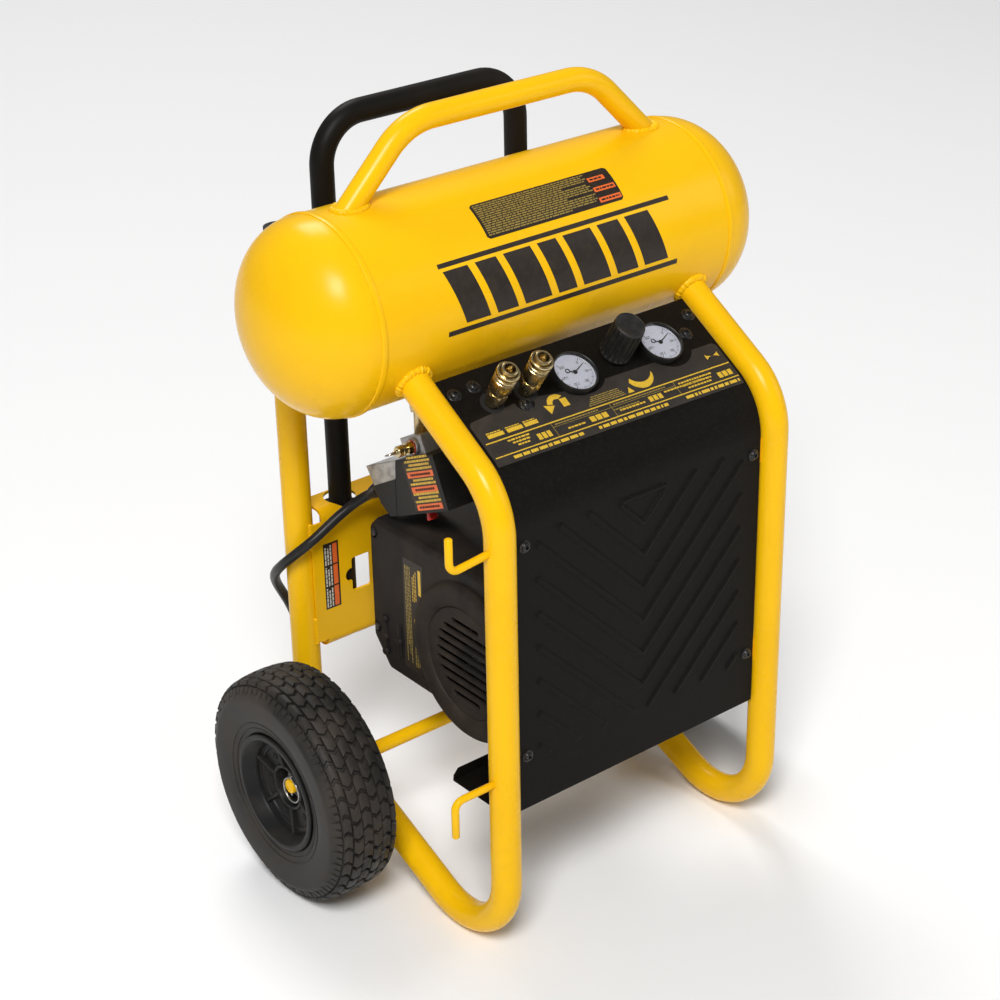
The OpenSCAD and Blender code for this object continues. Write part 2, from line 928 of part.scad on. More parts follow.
pump_y = front_y + pump_depth;
shroud_out_x = -150;
shroud_seam_x = -15;
shroud_right_x = 112;
shroud_wall = 3;
fan_cover_r = 88;
fan_open_r = 76;
module shroud_outline(inset) {
    translate([front_y, 0])
        polygon([
            [14 + inset, 244 + inset * 0.4], [34 + inset * 0.4, 226 + inset],
            [240 - inset * 0.4, 226 + inset], [266 - inset, 258 + inset * 0.4],
            [266 - inset, 392 - inset * 0.4], [254 - inset * 0.4, 404 - inset],
            [40 + inset * 0.4, 404 - inset], [14 + inset, 378 - inset * 0.4]
        ]);
}
module shroud_shell(x0, x1, closed_x0, closed_x1) {
    difference() {
        in_yz(x0)
            linear_extrude(x1 - x0)
                shroud_outline(0);
        in_yz(x0 + (closed_x0 ? shroud_wall : -1))
            linear_extrude(x1 - x0 - (closed_x0 ? shroud_wall : -1) - (closed_x1 ? shroud_wall : -1))
                shroud_outline(shroud_wall);
    }
}
shroud_screw_at = [[front_y + 256, 387], [front_y + 256, 272]];
module shroud_left() {
    color([0.13, 0.13, 0.13])
        difference() {
            shroud_shell(shroud_out_x, shroud_seam_x, true, false);
            bar_x([shroud_out_x - 1, pump_y, pump_z], shroud_wall + 2, fan_open_r);
            for (at = shroud_screw_at)
                bar_x([shroud_out_x - 1, at[0], at[1]], 2, 6.5);
        }
}
module shroud_right() {
    color([0.13, 0.13, 0.13])
        difference() {
            shroud_shell(shroud_seam_x + 0.3, shroud_right_x, false, true);
            bar_z([5, tank_y, 380], 40, 8);
            for (i = [0 : 6])
                block([shroud_right_x - 5, pump_y - 45, pump_z - 50 + i * 16],
                    [shroud_right_x + 1, pump_y + 45, pump_z - 42 + i * 16]);
        }
}
module shroud_screws() {
    color(STEEL)
        for (at = shroud_screw_at)
            translate([shroud_out_x + 1, at[0], at[1]])
                rotate([0, -90, 0])
                    button_screw(4.5, 2, 0);
}

// Round guard over the fan, with level slots
SLOT_PITCH = 10.8;
SLOT_WIDE = 5.6;
slots_r = 48.5;
guard_in_r = 62;
module fan_grille() {
    color([0.11, 0.11, 0.11])
        translate([shroud_out_x, pump_y, pump_z])
            rotate([0, -90, 0]) {
                rotate_extrude()
                    polygon([
                        [guard_in_r, 0], [fan_cover_r, 0], [fan_cover_r, 3], [fan_cover_r - 2.2, 6.5],
                        [fan_cover_r - 6.5, 9], [guard_in_r + 7, 9], [guard_in_r + 2, 8], [guard_in_r, 6]
                    ]);
                translate([0, 0, 2])
                    linear_extrude(4)
                        difference() {
                            circle(r = guard_in_r + 1);
                            for (i = [-4 : 4])
                                fan_slot(i * SLOT_PITCH);
                        }
            }
}
module fan_slot(up) {
    reach = sqrt(slots_r * slots_r - up * up);
    translate([up - SLOT_WIDE / 2, -reach])
        square([SLOT_WIDE, 2 * reach]);
}

stator_x = [-104, -48];
stator_r = 60;
rotor_r = 35;
module stator() {
    color([0.45, 0.3, 0.2])
        difference() {
            union() {
                bar_x([stator_x[0], pump_y, pump_z], stator_x[1] - stator_x[0], stator_r);
                bar_x([stator_x[0] - 7, pump_y, pump_z], stator_x[1] - stator_x[0] + 14, 52);
            }
            bar_x([stator_x[0] - 20, pump_y, pump_z], 120, rotor_r + 0.6);
        }
}

bearing_x = [-120, -34];
bearing_r = 16;
shaft_r = 7.5;
case_in_x = -22;
case_out_x = 48;
bore_r = 26;
cylinder_x = 20;
cylinder_y0 = pump_y + 44;
head_y0 = pump_y + 116;
module crankcase() {
    color(CAST)
        difference() {
            union() {
                bar_x([-41, pump_y, pump_z], 19, stator_r + 5);
                block([case_in_x - 1.5, pump_y - 44, pump_z - 44], [case_out_x, cylinder_y0 - 0.2, pump_z + 44]);
                block([-39, pump_y - 34, 229], [case_out_x - 3, pump_y + 34, pump_z - 40]);
                for (a = [45, 135, 225, 315])
                    bar_x([-114, pump_y + 62 * cos(a), pump_z + 62 * sin(a)], 76, 5);
                bar_x([-119.5, pump_y, pump_z], 8.5, bearing_r + 6);
                for (a = [45, 135])
                    translate([-118.5, pump_y, pump_z])
                        rotate([a, 0, 0])
                            block([0, -66, -5], [6.5, 66, 5]);
            }
            bar_x([-125, pump_y, pump_z], 100, bearing_r);
            bar_x([-26, pump_y, pump_z], 12, shaft_r + 2);
            bar_x([case_in_x + 5, pump_y, pump_z], case_out_x - case_in_x, 38);
            bar_y([cylinder_x, pump_y, pump_z], 60, bore_r);
            bar_x([stator_x[0] - 7.5, pump_y, pump_z], stator_x[1] - stator_x[0] + 15, stator_r + 0.3);
        }
}
module bearings() {
    color(STEEL)
        for (x = bearing_x)
            difference() {
                bar_x([x, pump_y, pump_z], 9, bearing_r);
                bar_x([x - 1, pump_y, pump_z], 11, shaft_r + 0.03);
            }
}
crank_r = 25;
module rotor() {
    color(STEEL) {
        bar_x([-143, pump_y, pump_z], 139, shaft_r);
        bar_x([stator_x[0] + 2, pump_y, pump_z], stator_x[1] - stator_x[0] - 4, rotor_r);
        bar_x([-14, pump_y, pump_z], 13, crank_r);
        bar_x([-2, pump_y + crank_throw, pump_z], 12, 5);
    }
}
BLADES = 9;
fan_r = 66;
module cooling_fan() {
    color([0.2, 0.2, 0.2])
        translate([-142, pump_y, pump_z])
            rotate([0, 90, 0])
                difference() {
                    union() {
                        cylinder(h = 14, r = 18);
                        for (i = [0 : BLADES - 1])
                            rotate([0, 0, i * 360 / BLADES])
                                translate([16, 0, 7])
                                    rotate([28, 0, 0])
                                        block([0, -1.2, -7], [fan_r - 16, 1.2, 7]);
                    }
                    translate([0, 0, -1])
                        cylinder(h = 18, r = shaft_r);
                }
}
module piston_rod() {
    rod_x = 10.5;
    color(CAST)
        difference() {
            union() {
                bar_y([cylinder_x, head_y0 - 18, pump_z], 12, bore_r - 0.5);
                block([rod_x, pump_y + crank_throw, pump_z - 7], [rod_x + 9, head_y0 - 17, pump_z + 7]);
                bar_x([rod_x, pump_y + crank_throw, pump_z], 9, 13);
            }
            bar_x([rod_x - 1, pump_y + crank_throw, pump_z], 11, 6);
        }
}
FINS = 7;
module cylinder_barrel() {
    color(CAST)
        difference() {
            union() {
                bar_y([cylinder_x, cylinder_y0, pump_z], head_y0 - cylinder_y0 - 0.2, bore_r + 4);
                for (i = [0 : FINS - 1])
                    bar_y([cylinder_x, cylinder_y0 + 3 + i * 9.5, pump_z], 2.5, bore_r + 14);
            }
            bar_y([cylinder_x, cylinder_y0 - 1, pump_z], 90, bore_r);
        }
}
module cylinder_head() {
    color(CAST) {
        block([cylinder_x - 36, head_y0, pump_z - 36], [cylinder_x + 36, head_y0 + 14, pump_z + 36]);
        for (i = [0 : 6])
            block([cylinder_x - 36 + i * 11.5, head_y0 + 14, pump_z - 36],
                [cylinder_x - 33 + i * 11.5, head_y0 + 34, pump_z + 36]);
    }
}

// Metal tube that carries the air from the head up to the tank
module discharge_tube() {
    color(CAST)
        in_xz(tank_y)
            flat_tube([[5, pump_z + 36.3], [5, 435], [check_x, 490], [check_x, 527.8]], 20, 4.8);
}

module pump_isolators() {
    color(BLACK)
        for (x = [-95, 75])
            for (y = [48, 74])
                bar_z([x, front_y + y, panel_bottom_z + panel_t], 226 - panel_bottom_z - panel_t, 11);
}

// ---- drain -------------------------------------------------------------------

drain_x = 110;
module drain_valve() {
    color(BRASS)
        difference() {
            union() {
                bar_z([drain_x, tank_y, 538], 40, 7);
                translate([drain_x, tank_y, 529])
                    cylinder(h = 16, r = 10, $fn = 8);
                bar_y([drain_x, tank_y + 8, 537], 18, 5.5);
            }
            tank_solid(0);
            bar_y([drain_x, tank_y + 9, 537], 20, 3);
            bar_z([drain_x, tank_y, 520], 14, 3);
        }
}
module drain_lever() {
    color(STEEL) {
        bar_z([drain_x, tank_y, 524], 9.6, 3 - SLIDE_FIT);
        block([drain_x - 5, tank_y - 6, 522], [drain_x + 34, tank_y + 6, 525]);
    }
}

// ---- wheels ------------------------------------------------------------------

rim_r = 62;
tyre_round = 22;
module tyre_section(inset) {
    crown_x = tyre_w / 2 - tyre_round;
    for (side = SIDES)
        translate([tyre_r - tyre_round, side * crown_x])
            circle(r = tyre_round - inset);
    translate([rim_r + 24, -crown_x])
        square([tyre_r - rim_r - 24 - inset, 2 * crown_x]);
    translate([rim_r, -34 + inset])
        square([tyre_r - tyre_round - rim_r, 68 - 2 * inset]);
}
module tyre(side) {
    translate([side * wheel_x, axle_y, axle_z])
        rotate([0, 90, 0])
            rotate_extrude($fn = 96)
                difference() {
                    tyre_section(0);
                    tyre_section(8);
                }
}
module tyre_left() { color(BLACK) tyre(LEFT); }
module tyre_right() { color(BLACK) tyre(RIGHT); }

RIM_RIBS = 6;
hub_r = 19;
cup_r = 22;
dish_r = 52;
module rim_section() {
    translate([rim_r - 5, -37])
        square([4.99, 59]);
    translate([rim_r - 5, -38.4])
        square([10, 4]);
    polygon([
        [rim_r - 0.01, 20], [rim_r - 0.01, 34.4], [rim_r + 5, 34.4], [rim_r + 5, 38.4], [rim_r - 2, 38.4],
        [dish_r, 26], [dish_r, 12], [rim_r - 5, 12], [rim_r - 5, 20]
    ]);
    translate([cup_r + 1, 12])
        square([dish_r - cup_r, 6]);
    translate([cup_r, -6])
        square([4, 27]);
    translate([hub_r - 2, -6])
        square([cup_r - hub_r + 4, 6]);
    translate([axle_r + 0.05, 0.4 - hub_half])
        square([hub_r - axle_r, hub_half + 7.6]);
}
module rim(side) {
    translate([side * wheel_x, axle_y, axle_z])
        rotate([0, side * 90, 0]) {
            rotate_extrude($fn = 96)
                rim_section();
            for (i = [0 : RIM_RIBS - 1])
                rotate([90, 0, 12 + i * 360 / RIM_RIBS])
                    translate([0, 0, -2.5])
                        linear_extrude(5)
                            polygon([[cup_r + 2, 14], [dish_r + 2, 14], [dish_r + 2, 25.6], [cup_r + 2, 22]]);
        }
}
module rim_left() { color([0.08, 0.08, 0.08]) rim(LEFT); }
module rim_right() { color([0.08, 0.08, 0.08]) rim(RIGHT); }

// ---- pull handle -------------------------------------------------------------

leg_low_z = 224;
pull_bend_r = 50;
module pull_handle() {
    color(BLACK)
        in_xz(guide_y)
            hollow_tube([
                [-pull_x, leg_low_z], [-pull_x, pull_z], [pull_x, pull_z], [pull_x, leg_low_z]
            ], pull_bend_r, grip_r, grip_wall);
}

// ---- cord --------------------------------------------------------------------

coil_x = -140;
coil_y = front_y + 447;
coil_in_r = 49;
coil_wide = 2 * cord_d;
CORD_SIDES = 10;
cord_route = [
    for (p = [
        [-128, 285.1, 415.5], [-128.8, 292.2, 410.2], [-132, 299.4, 404.4], [-138.3, 305.6, 398.2],
        [-147, 309.5, 391.5], [-158, 312, 384.5], [-170, 313.5, 377], [-182, 315.5, 369],
        [-193, 319, 361], [-202, 325.5, 352], [-208.5, 335, 341.5], [-210.5, 347, 330],
        [-209, 359.5, 318], [-204, 371, 305], [-196, 380.5, 290], [-186, 387, 273],
        [-175.5, 390.5, 253], [-167, 392, 230], [-161, 392.5, 203], [-157.5, 392.5, 173],
        [-157, 392, 143], [-160, 391.5, 115], [-167, 391.5, 90], [-176, 393, 68],
        [-186, 396.5, 47], [-194, 403, 30], [-198.5, 415, 17.5], [-200, 434, 12]
    ]) [p[0], p[1] + front_y, p[2]]
];
function route_dir(i) =
    unit(cord_route[min(i + 1, len(cord_route) - 1)] - cord_route[max(i - 1, 0)]);
function route_side(i) = unit(cross(route_dir(i), [0.3, 1, 0.2]));
function route_ring(i) = [
    for (k = [0 : CORD_SIDES - 1])
        cord_route[i] + cord_d / 2 * (cos(360 * k / CORD_SIDES) * route_side(i)
            + sin(360 * k / CORD_SIDES) * cross(route_dir(i), route_side(i)))
];
module power_cord() {
    rings = len(cord_route);
    color(BLACK)
        polyhedron(
            points = [for (i = [0 : rings - 1]) each route_ring(i)],
            faces = concat(
                [[for (k = [0 : CORD_SIDES - 1]) CORD_SIDES - 1 - k]],
                [for (i = [0 : rings - 2]) for (k = [0 : CORD_SIDES - 1]) [
                    i * CORD_SIDES + k, i * CORD_SIDES + (k + 1) % CORD_SIDES,
                    (i + 1) * CORD_SIDES + (k + 1) % CORD_SIDES, (i + 1) * CORD_SIDES + k
                ]],
                [[for (k = [0 : CORD_SIDES - 1]) (rings - 1) * CORD_SIDES + k]]
            )
        );
}
module cord_coil() {
    color(BLACK)
        translate([coil_x, coil_y, 0])
            rotate_extrude()
                translate([coil_in_r, 0])
                    square([coil_wide, coil_wide]);
}
module power_plug() {
    color(BLACK)
        translate([coil_x - 26, coil_y, 0]) {
            block([-13, -24, 0], [13, 14, 24]);
            for (side = SIDES)
                block([side * 6.35 - 0.8, 14, 9], [side * 6.35 + 0.8, 30, 15]);
            bar_y([0, 14, 19], 18, 2.4);
        }
}

side_tube_left();
side_tube_right();
tank_shell();
tank_heads();
weld_collars();
carry_handle();
rear_plate();
tank_saddles();
axle_brackets();
axle();
axle_pins();
cord_hooks();
front_panel();
panel_tabs();
panel_screws();
pump_isolators();
shroud_left();
shroud_right();
fan_grille();
shroud_screws();
stator();
crankcase();
bearings();
cylinder_barrel();
cylinder_head();
discharge_tube();
check_valve();
manifold();
switch_base();
switch_cover();
safety_valve();
outlet_manifold();
gauge_cases();
gauge_dials();
gauge_lenses();
coupler_bodies();
drain_valve();
handle_guides();
tube_plugs();
strain_relief();
power_cord();
cord_coil();
power_plug();
tyre_left();
rim_left();
tyre_right();
rim_right();
rotor();
cooling_fan();
piston_rod();
pull_handle();
switch_lever();
regulator_knob();
relief_ring();
needle_left();
needle_right();
sleeve_left();
sleeve_right();
drain_lever();
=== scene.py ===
"""Wheeled portable air compressor, dressed over its CAD frame. Metres, +Z up, the front panel faces -Y."""
import json
import random
from math import atan, copysign, cos, hypot, pi, radians, sin, sqrt, tan

import bmesh
import bpy
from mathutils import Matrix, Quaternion, Vector


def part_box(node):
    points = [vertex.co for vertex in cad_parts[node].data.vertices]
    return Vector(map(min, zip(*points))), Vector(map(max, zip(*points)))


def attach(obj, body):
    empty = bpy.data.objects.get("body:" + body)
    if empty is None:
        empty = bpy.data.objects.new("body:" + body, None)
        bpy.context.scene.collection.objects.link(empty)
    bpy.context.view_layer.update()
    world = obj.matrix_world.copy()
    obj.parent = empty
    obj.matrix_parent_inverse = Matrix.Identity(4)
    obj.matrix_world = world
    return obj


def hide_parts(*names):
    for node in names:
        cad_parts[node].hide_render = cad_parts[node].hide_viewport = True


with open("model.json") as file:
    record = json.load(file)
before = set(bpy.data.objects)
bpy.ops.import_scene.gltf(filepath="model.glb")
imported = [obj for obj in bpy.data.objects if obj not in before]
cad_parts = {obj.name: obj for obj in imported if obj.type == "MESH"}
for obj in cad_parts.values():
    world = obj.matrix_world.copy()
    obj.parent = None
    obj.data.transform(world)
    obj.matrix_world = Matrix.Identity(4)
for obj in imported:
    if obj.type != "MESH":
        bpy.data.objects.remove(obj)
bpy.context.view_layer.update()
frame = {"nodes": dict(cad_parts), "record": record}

NODES = frame["nodes"]
TAU = 2 * pi


def mid(node):
    low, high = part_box(node)
    return (low + high) / 2


# ---- main sizes ------------------------------------------------------------------
TUBE_R = 0.0159
GRIP_R = 0.0127
TANK_R = 0.1016
SEAM_X = 0.2286
DOME = 0.074
BEND_R = 0.076
SLOPE = radians(32)
RISE = radians(24)
FRAME_X = mid("side_tube_right").x
FRONT_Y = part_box("side_tube_right")[0].y + TUBE_R
REAR_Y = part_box("side_tube_right")[1].y - TUBE_R
TANK_Y = mid("tank_shell").y
TANK_Z = mid("tank_shell").z
KNEE_Z = TANK_Z - (TANK_Y - FRONT_Y) * tan(SLOPE)
FOOT_Z = TUBE_R + BEND_R - BEND_R * tan((pi / 2 + RISE) / 2)
REAR_Z = FOOT_Z + (REAR_Y - FRONT_Y) * tan(RISE)
BEND_START = BEND_R * tan((pi / 2 - SLOPE) / 2)
PANEL_T = 0.002
PANEL_X = FRAME_X - 0.0191
PANEL_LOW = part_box("front_panel")[0].z
SLOPE_END = 0.143

# ---- camera ----------------------------------------------------------------------
CAMERA_AT = (-1.358044, -1.649973, 1.487842)
CAMERA_AIM = Vector((0.0885, 0.16, 0.3136))
CAMERA_ROLL = radians(-1.151)


def put(name, data):
    """A new object in the scene."""
    o = bpy.data.objects.new(name, data)
    bpy.context.scene.collection.objects.link(o)
    return o


camera = put("camera", bpy.data.cameras.new("camera"))
bpy.context.scene.camera = camera
camera.location = CAMERA_AT
look = CAMERA_AIM - camera.location
camera.rotation_mode = "QUATERNION"
camera.rotation_quaternion = look.to_track_quat("-Z", "Y") @ Quaternion((0, 0, 1), CAMERA_ROLL)
camera.data.sensor_width = 36
camera.data.lens = 80.742
camera.data.clip_start, camera.data.clip_end = 0.05, 60
bpy.context.scene.view_settings.view_transform = "Standard"


# ---- materials -------------------------------------------------------------------
MATS = {}


def surface(name, color, rough, metal=0.0, tint=(0, 0, 0), tint_scale=9.0, tint_from=0.45, tint_to=0.75,
        rough_change=0.06, grain=0.12, grain_scale=900.0, grain_depth=0.0002, specular=0.5, stretch=(1, 1, 1),
        wave=0.0, wave_scale=30.0):
    """Procedural finish: a base colour with patches of a second one, uneven gloss and a fine grain."""
    m = MATS[name] = bpy.data.materials.new(name)
    m.use_nodes = True
    tree = m.node_tree
    tree.nodes.clear()

    def node(kind, **values):
        made = tree.nodes.new("ShaderNode" + kind)
        for key, value in values.items():
            made.inputs[key.replace("_", " ")].default_value = value
        return made

    def join(source, output, target, socket):
        tree.links.new(source.outputs[output], target.inputs[socket])

    shader = node("BsdfPrincipled", Metallic=metal, Specular_IOR_Level=specular)
    join(shader, "BSDF", node("OutputMaterial"), "Surface")
    place = node("TexCoord")
    stretched = node("Mapping", Scale=stretch)
    join(place, "Object", stretched, "Vector")
    patches = node("TexNoise", Scale=tint_scale, Detail=6, Roughness=0.62)
    join(stretched, "Vector", patches, "Vector")
    ramp = node("ValToRGB")
    for stop, at, shade in zip(ramp.color_ramp.elements, (tint_from, tint_to), (color, tint)):
        stop.position, stop.color = at, (*shade, 1)
    join(patches, "Fac", ramp, "Fac")
    join(ramp, "Color", shader, "Base Color")
    gloss = node("MapRange", From_Min=0.3, From_Max=0.7, To_Min=max(0.02, rough - rough_change),
        To_Max=min(1.0, rough + rough_change))
    join(patches, "Fac", gloss, "Value")
    join(gloss, "Result", shader, "Roughness")
    fine = node("TexNoise", Scale=grain_scale, Detail=3)
    join(stretched, "Vector", fine, "Vector")
    bump = node("Bump", Strength=grain, Distance=grain_depth)
    join(fine, "Fac", bump, "Height")
    if wave:
        slow = node("TexNoise", Scale=wave_scale, Detail=1)
        join(place, "Object", slow, "Vector")
        swell = node("Bump", Strength=wave, Distance=0.0012)
        join(slow, "Fac", swell, "Height")
        join(bump, "Normal", swell, "Normal")
        bump = swell
    join(bump, "Normal", shader, "Normal")
    return m


YELLOW, DEEP_YELLOW = (0.88, 0.495, 0.004), (0.84, 0.46, 0.003)
surface("frame_paint", YELLOW, 0.25, tint=DEEP_YELLOW, wave=0.1, grain=0.05, specular=0.16)
surface("tank_paint", YELLOW, 0.26, tint=DEEP_YELLOW, tint_scale=5, wave=0.1, wave_scale=18, grain=0.05,
    specular=0.16)
surface("panel_paint", (0.005, 0.0042, 0.0034), 0.5, tint=(0.01, 0.008, 0.006), tint_scale=260, grain=0.3,
    grain_scale=1400, specular=0.08)
surface("handle_paint", (0.008, 0.007, 0.006), 0.5, tint=(0.016, 0.013, 0.01), grain=0.1, specular=0.1)
surface("black_screw", (0.02, 0.02, 0.021), 0.3, metal=0.6, tint=(0.07, 0.065, 0.06), tint_scale=300)
surface("zinc", (0.4, 0.39, 0.37), 0.34, metal=1.0, tint=(0.2, 0.19, 0.18), tint_scale=90, rough_change=0.1)
surface("bright_steel", (0.62, 0.62, 0.61), 0.24, metal=1.0, tint=(0.48, 0.47, 0.46), tint_scale=60)
surface("cast_alloy", (0.52, 0.52, 0.52), 0.48, metal=0.9, tint=(0.36, 0.355, 0.35), tint_scale=60, grain=0.5,
    grain_scale=700, grain_depth=0.0004)
surface("windings", (0.36, 0.15, 0.05), 0.42, metal=0.6, tint=(0.22, 0.09, 0.03), tint_scale=40,
    stretch=(1, 6, 6), grain=0.5, grain_scale=160, grain_depth=0.0006)
surface("brass", (0.58, 0.47, 0.26), 0.26, metal=1.0, tint=(0.44, 0.34, 0.17), tint_scale=70, rough_change=0.09)
surface("shroud_plastic", (0.014, 0.012, 0.011), 0.58, tint=(0.048, 0.036, 0.027), tint_scale=11,
    rough_change=0.1, grain=0.35, grain_scale=1100, specular=0.14)
surface("switch_plastic", (0.013, 0.013, 0.013), 0.5, tint=(0.026, 0.022, 0.019), tint_scale=30, grain=0.3,
    grain_scale=1200, specular=0.22)
surface("knob_plastic", (0.013, 0.013, 0.013), 0.38, tint=(0.03, 0.026, 0.022), tint_scale=120, grain=0.15,
    specular=0.28)
surface("red_plastic", (0.46, 0.018, 0.012), 0.36, tint=(0.36, 0.012, 0.01), tint_scale=60, grain=0.15)
surface("fan_plastic", (0.022, 0.022, 0.023), 0.5, tint=(0.035, 0.03, 0.026), tint_scale=30, specular=0.22)
surface("gauge_black", (0.012, 0.012, 0.012), 0.34, tint=(0.022, 0.02, 0.019), tint_scale=90, grain=0.1,
    specular=0.3)
surface("dial_white", (0.8, 0.78, 0.86), 0.55, tint=(0.74, 0.72, 0.8), tint_scale=50, grain=0.05)
surface("needle_black", (0.02, 0.02, 0.02), 0.4, tint=(0.03, 0.03, 0.03), tint_scale=200)
surface("tyre_rubber", (0.016, 0.015, 0.014), 0.55, tint=(0.05, 0.04, 0.031), tint_scale=16, tint_from=0.42,
    tint_to=0.78, rough_change=0.12, grain=0.5, grain_scale=500, grain_depth=0.0003, specular=0.25)
surface("rim_plastic", (0.012, 0.012, 0.012), 0.42, tint=(0.028, 0.023, 0.019), tint_scale=25, grain=0.25,
    specular=0.14)
surface("isolator_rubber", (0.02, 0.02, 0.02), 0.7, tint=(0.034, 0.029, 0.025), tint_scale=40, specular=0.2)
surface("cord_rubber", (0.014, 0.014, 0.014), 0.36, tint=(0.026, 0.025, 0.024), tint_scale=50, grain=0.2,
    grain_scale=800, specular=0.25)
surface("ink_black", (0.02, 0.014, 0.01), 0.42, tint=(0.034, 0.024, 0.016), tint_scale=120, grain=0.1,
    specular=0.3)
surface("ink_label", (0.03, 0.025, 0.021), 0.46, tint=(0.044, 0.036, 0.03), tint_scale=60, grain=0.2,
    specular=0.25)
surface("ink_yellow", (0.7, 0.44, 0.03), 0.45, tint=(0.52, 0.33, 0.03), tint_scale=400, grain=0.1)
surface("ink_dim", (0.34, 0.24, 0.045), 0.5, tint=(0.16, 0.115, 0.03), tint_scale=700, grain=0.1)
surface("ink_orange", (0.8, 0.14, 0.02), 0.45, tint=(0.68, 0.12, 0.02), tint_scale=200, grain=0.1)
surface("ink_cream", (0.62, 0.6, 0.52), 0.5, tint=(0.52, 0.5, 0.43), tint_scale=100, grain=0.1)
# Near-black for black print dashes. It is also painted shade: the flat rings round the couplers and gauges show the
# dark of the holes and the shade under those parts.
surface("ink_and_painted_shade_black", (0.004, 0.004, 0.004), 0.8, tint=(0.006, 0.006, 0.006), tint_scale=40)
glass = surface("gauge_lens", (0.95, 0.97, 0.98), 0.06, tint=(0.92, 0.95, 0.97), tint_scale=30,
    rough_change=0.03, grain=0.02)
glass.node_tree.nodes["Principled BSDF"].inputs["Transmission Weight"].default_value = 1.0
glass.node_tree.nodes["Principled BSDF"].inputs["IOR"].default_value = 1.12


# ---- mesh helpers ----------------------------------------------------------------
class Shape:
    """Vertices and faces of one piece, gathered from several solids."""

    def __init__(self):
        self.points, self.faces = [], []

    def add(self, points, faces, place=None):
        """More points and faces. place, where given, moves every point."""
        base = len(self.points)
        self.points += [place(Vector(p)) if place else Vector(p) for p in points]
        self.faces += [tuple(base + i for i in f) for f in faces]
        return self

    def rings(self, rings, closed=True, ends=(True, True), around=False, place=None):
        """Skin over rings of equal length. around joins the last ring to the first."""
        count, size = len(rings), len(rings[0])
        faces = []
        for a in range(count if around else count - 1):
            b = (a + 1) % count
            for i in range(size if closed else size - 1):
                j = (i + 1) % size
                faces.append((a * size + i, a * size + j, b * size + j, b * size + i))
        if closed and not around:
            if ends[0]:
                faces.append(tuple(range(size))[::-1])
            if ends[1]:
                faces.append(tuple((count - 1) * size + i for i in range(size)))
        return self.add([p for r in rings for p in r], faces, place)

    def turned(self, profile, origin, axis, steps=64, closed=False, place=None):
        """Revolves (radius, height) pairs about an axis. An open profile is closed by flat ends."""
        side, up, along = basis(axis)
        origin = Vector(origin)
        rings = []
        for radius, height in profile:
            radius = max(radius, 0.00002)
            rings.append([origin + along * height + (side * cos(TAU * i / steps)
                + up * sin(TAU * i / steps)) * radius for i in range(steps)])
        return self.rings(rings, True, (True, True), closed, place)

    def spun(self, profile, steps=48, closed=False, place=None):
        """Revolves (radius, height) pairs about the local Z."""
        return self.turned(profile, (0, 0, 0), (0, 0, 1), steps, closed, place)

    def tube(self, path, radius, sides=32, around=False, ends=((0.0, 1.0),), place=None):
        """Round tube along a line. radius is one number or one for each point. ends rounds off both ends."""
        path = [Vector(p) for p in path]
        radii = [radius] * len(path) if not hasattr(radius, "__len__") else list(radius)
        frames = carried(path, around)
        rings = []
        for p, r, (side, up, along) in zip(path, radii, frames):
            rings.append([p + (side * cos(TAU * i / sides) + up * sin(TAU * i / sides)) * r
                for i in range(sides)])
        if not around and len(ends) > 1:
            first, last = [], []
            for back, share in ends:
                side, up, along = frames[0]
                first.append([path[0] + along * back + (q - path[0]) * share for q in rings[0]])
                side, up, along = frames[-1]
                last.append([path[-1] - along * back + (q - path[-1]) * share for q in rings[-1]])
            rings = first + rings[1:-1] + last[::-1]
        return self.rings(rings, True, (True, True), around, place)

    def prism(self, outline, low, high, place=None):
        """Solid between two heights over an outline in XY."""
        size = len(outline)
        points = [(x, y, low) for x, y in outline] + [(x, y, high) for x, y in outline]
        faces = [tuple(range(size))[::-1], tuple(range(size, 2 * size))]
        faces += [(i, (i + 1) % size, size + (i + 1) % size, size + i) for i in range(size)]
        return self.add(points, faces, place)

    def block(self, low, high, place=None):
        """Box between two corners."""
        return self.prism([(low[0], low[1]), (high[0], low[1]), (high[0], high[1]), (low[0], high[1])], low[2],
            high[2], place)

    def mesh(self, name, merge=0.0):
        """The gathered faces as a mesh that faces outwards, with points closer than merge made one."""
        mesh = bpy.data.meshes.new(name)
        mesh.from_pydata([tuple(p) for p in self.points], [], self.faces)
        clean = bmesh.new()
        clean.from_mesh(mesh)
        if merge:
            bmesh.ops.remove_doubles(clean, verts=clean.verts, dist=merge)
        bmesh.ops.recalc_face_normals(clean, faces=clean.faces)
        clean.to_mesh(mesh)
        clean.free()
        return mesh

    def made(self, name, slot, body="frame", replaces=(), material=None, bevel=0.0, steps=2, smooth=35,
            modifiers=()):
        """The finished piece: its mesh, soft edges or sharp ones, its material (the slot's unless one is given), its
        body, and the CAD nodes it hides.
        """
        o = put(name, self.mesh(name, 0.000001))
        for add in modifiers:
            add(o)
        if modifiers:
            baked(o)
        mesh = o.data
        mesh.polygons.foreach_set("use_smooth", [True] * len(mesh.polygons))
        if bevel:
            m = o.modifiers.new("edges", "BEVEL")
            m.width, m.segments, m.limit_method, m.angle_limit = bevel, steps, "ANGLE", radians(smooth)
            m.harden_normals = True
            m.miter_outer = "MITER_ARC"
        else:
            mesh.set_sharp_from_angle(angle=radians(smooth))
        mesh.materials.clear()
        mesh.materials.append(material or MATS[slot])
        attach(o, body)
        if replaces:
            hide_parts(*replaces)
        return o


def basis(axis):
    along = Vector(axis).normalized()
    hint = Vector((0, 0, 1)) if abs(along.z) < 0.9 else Vector((0, 1, 0))
    side = hint.cross(along).normalized()
    return side, along.cross(side), along


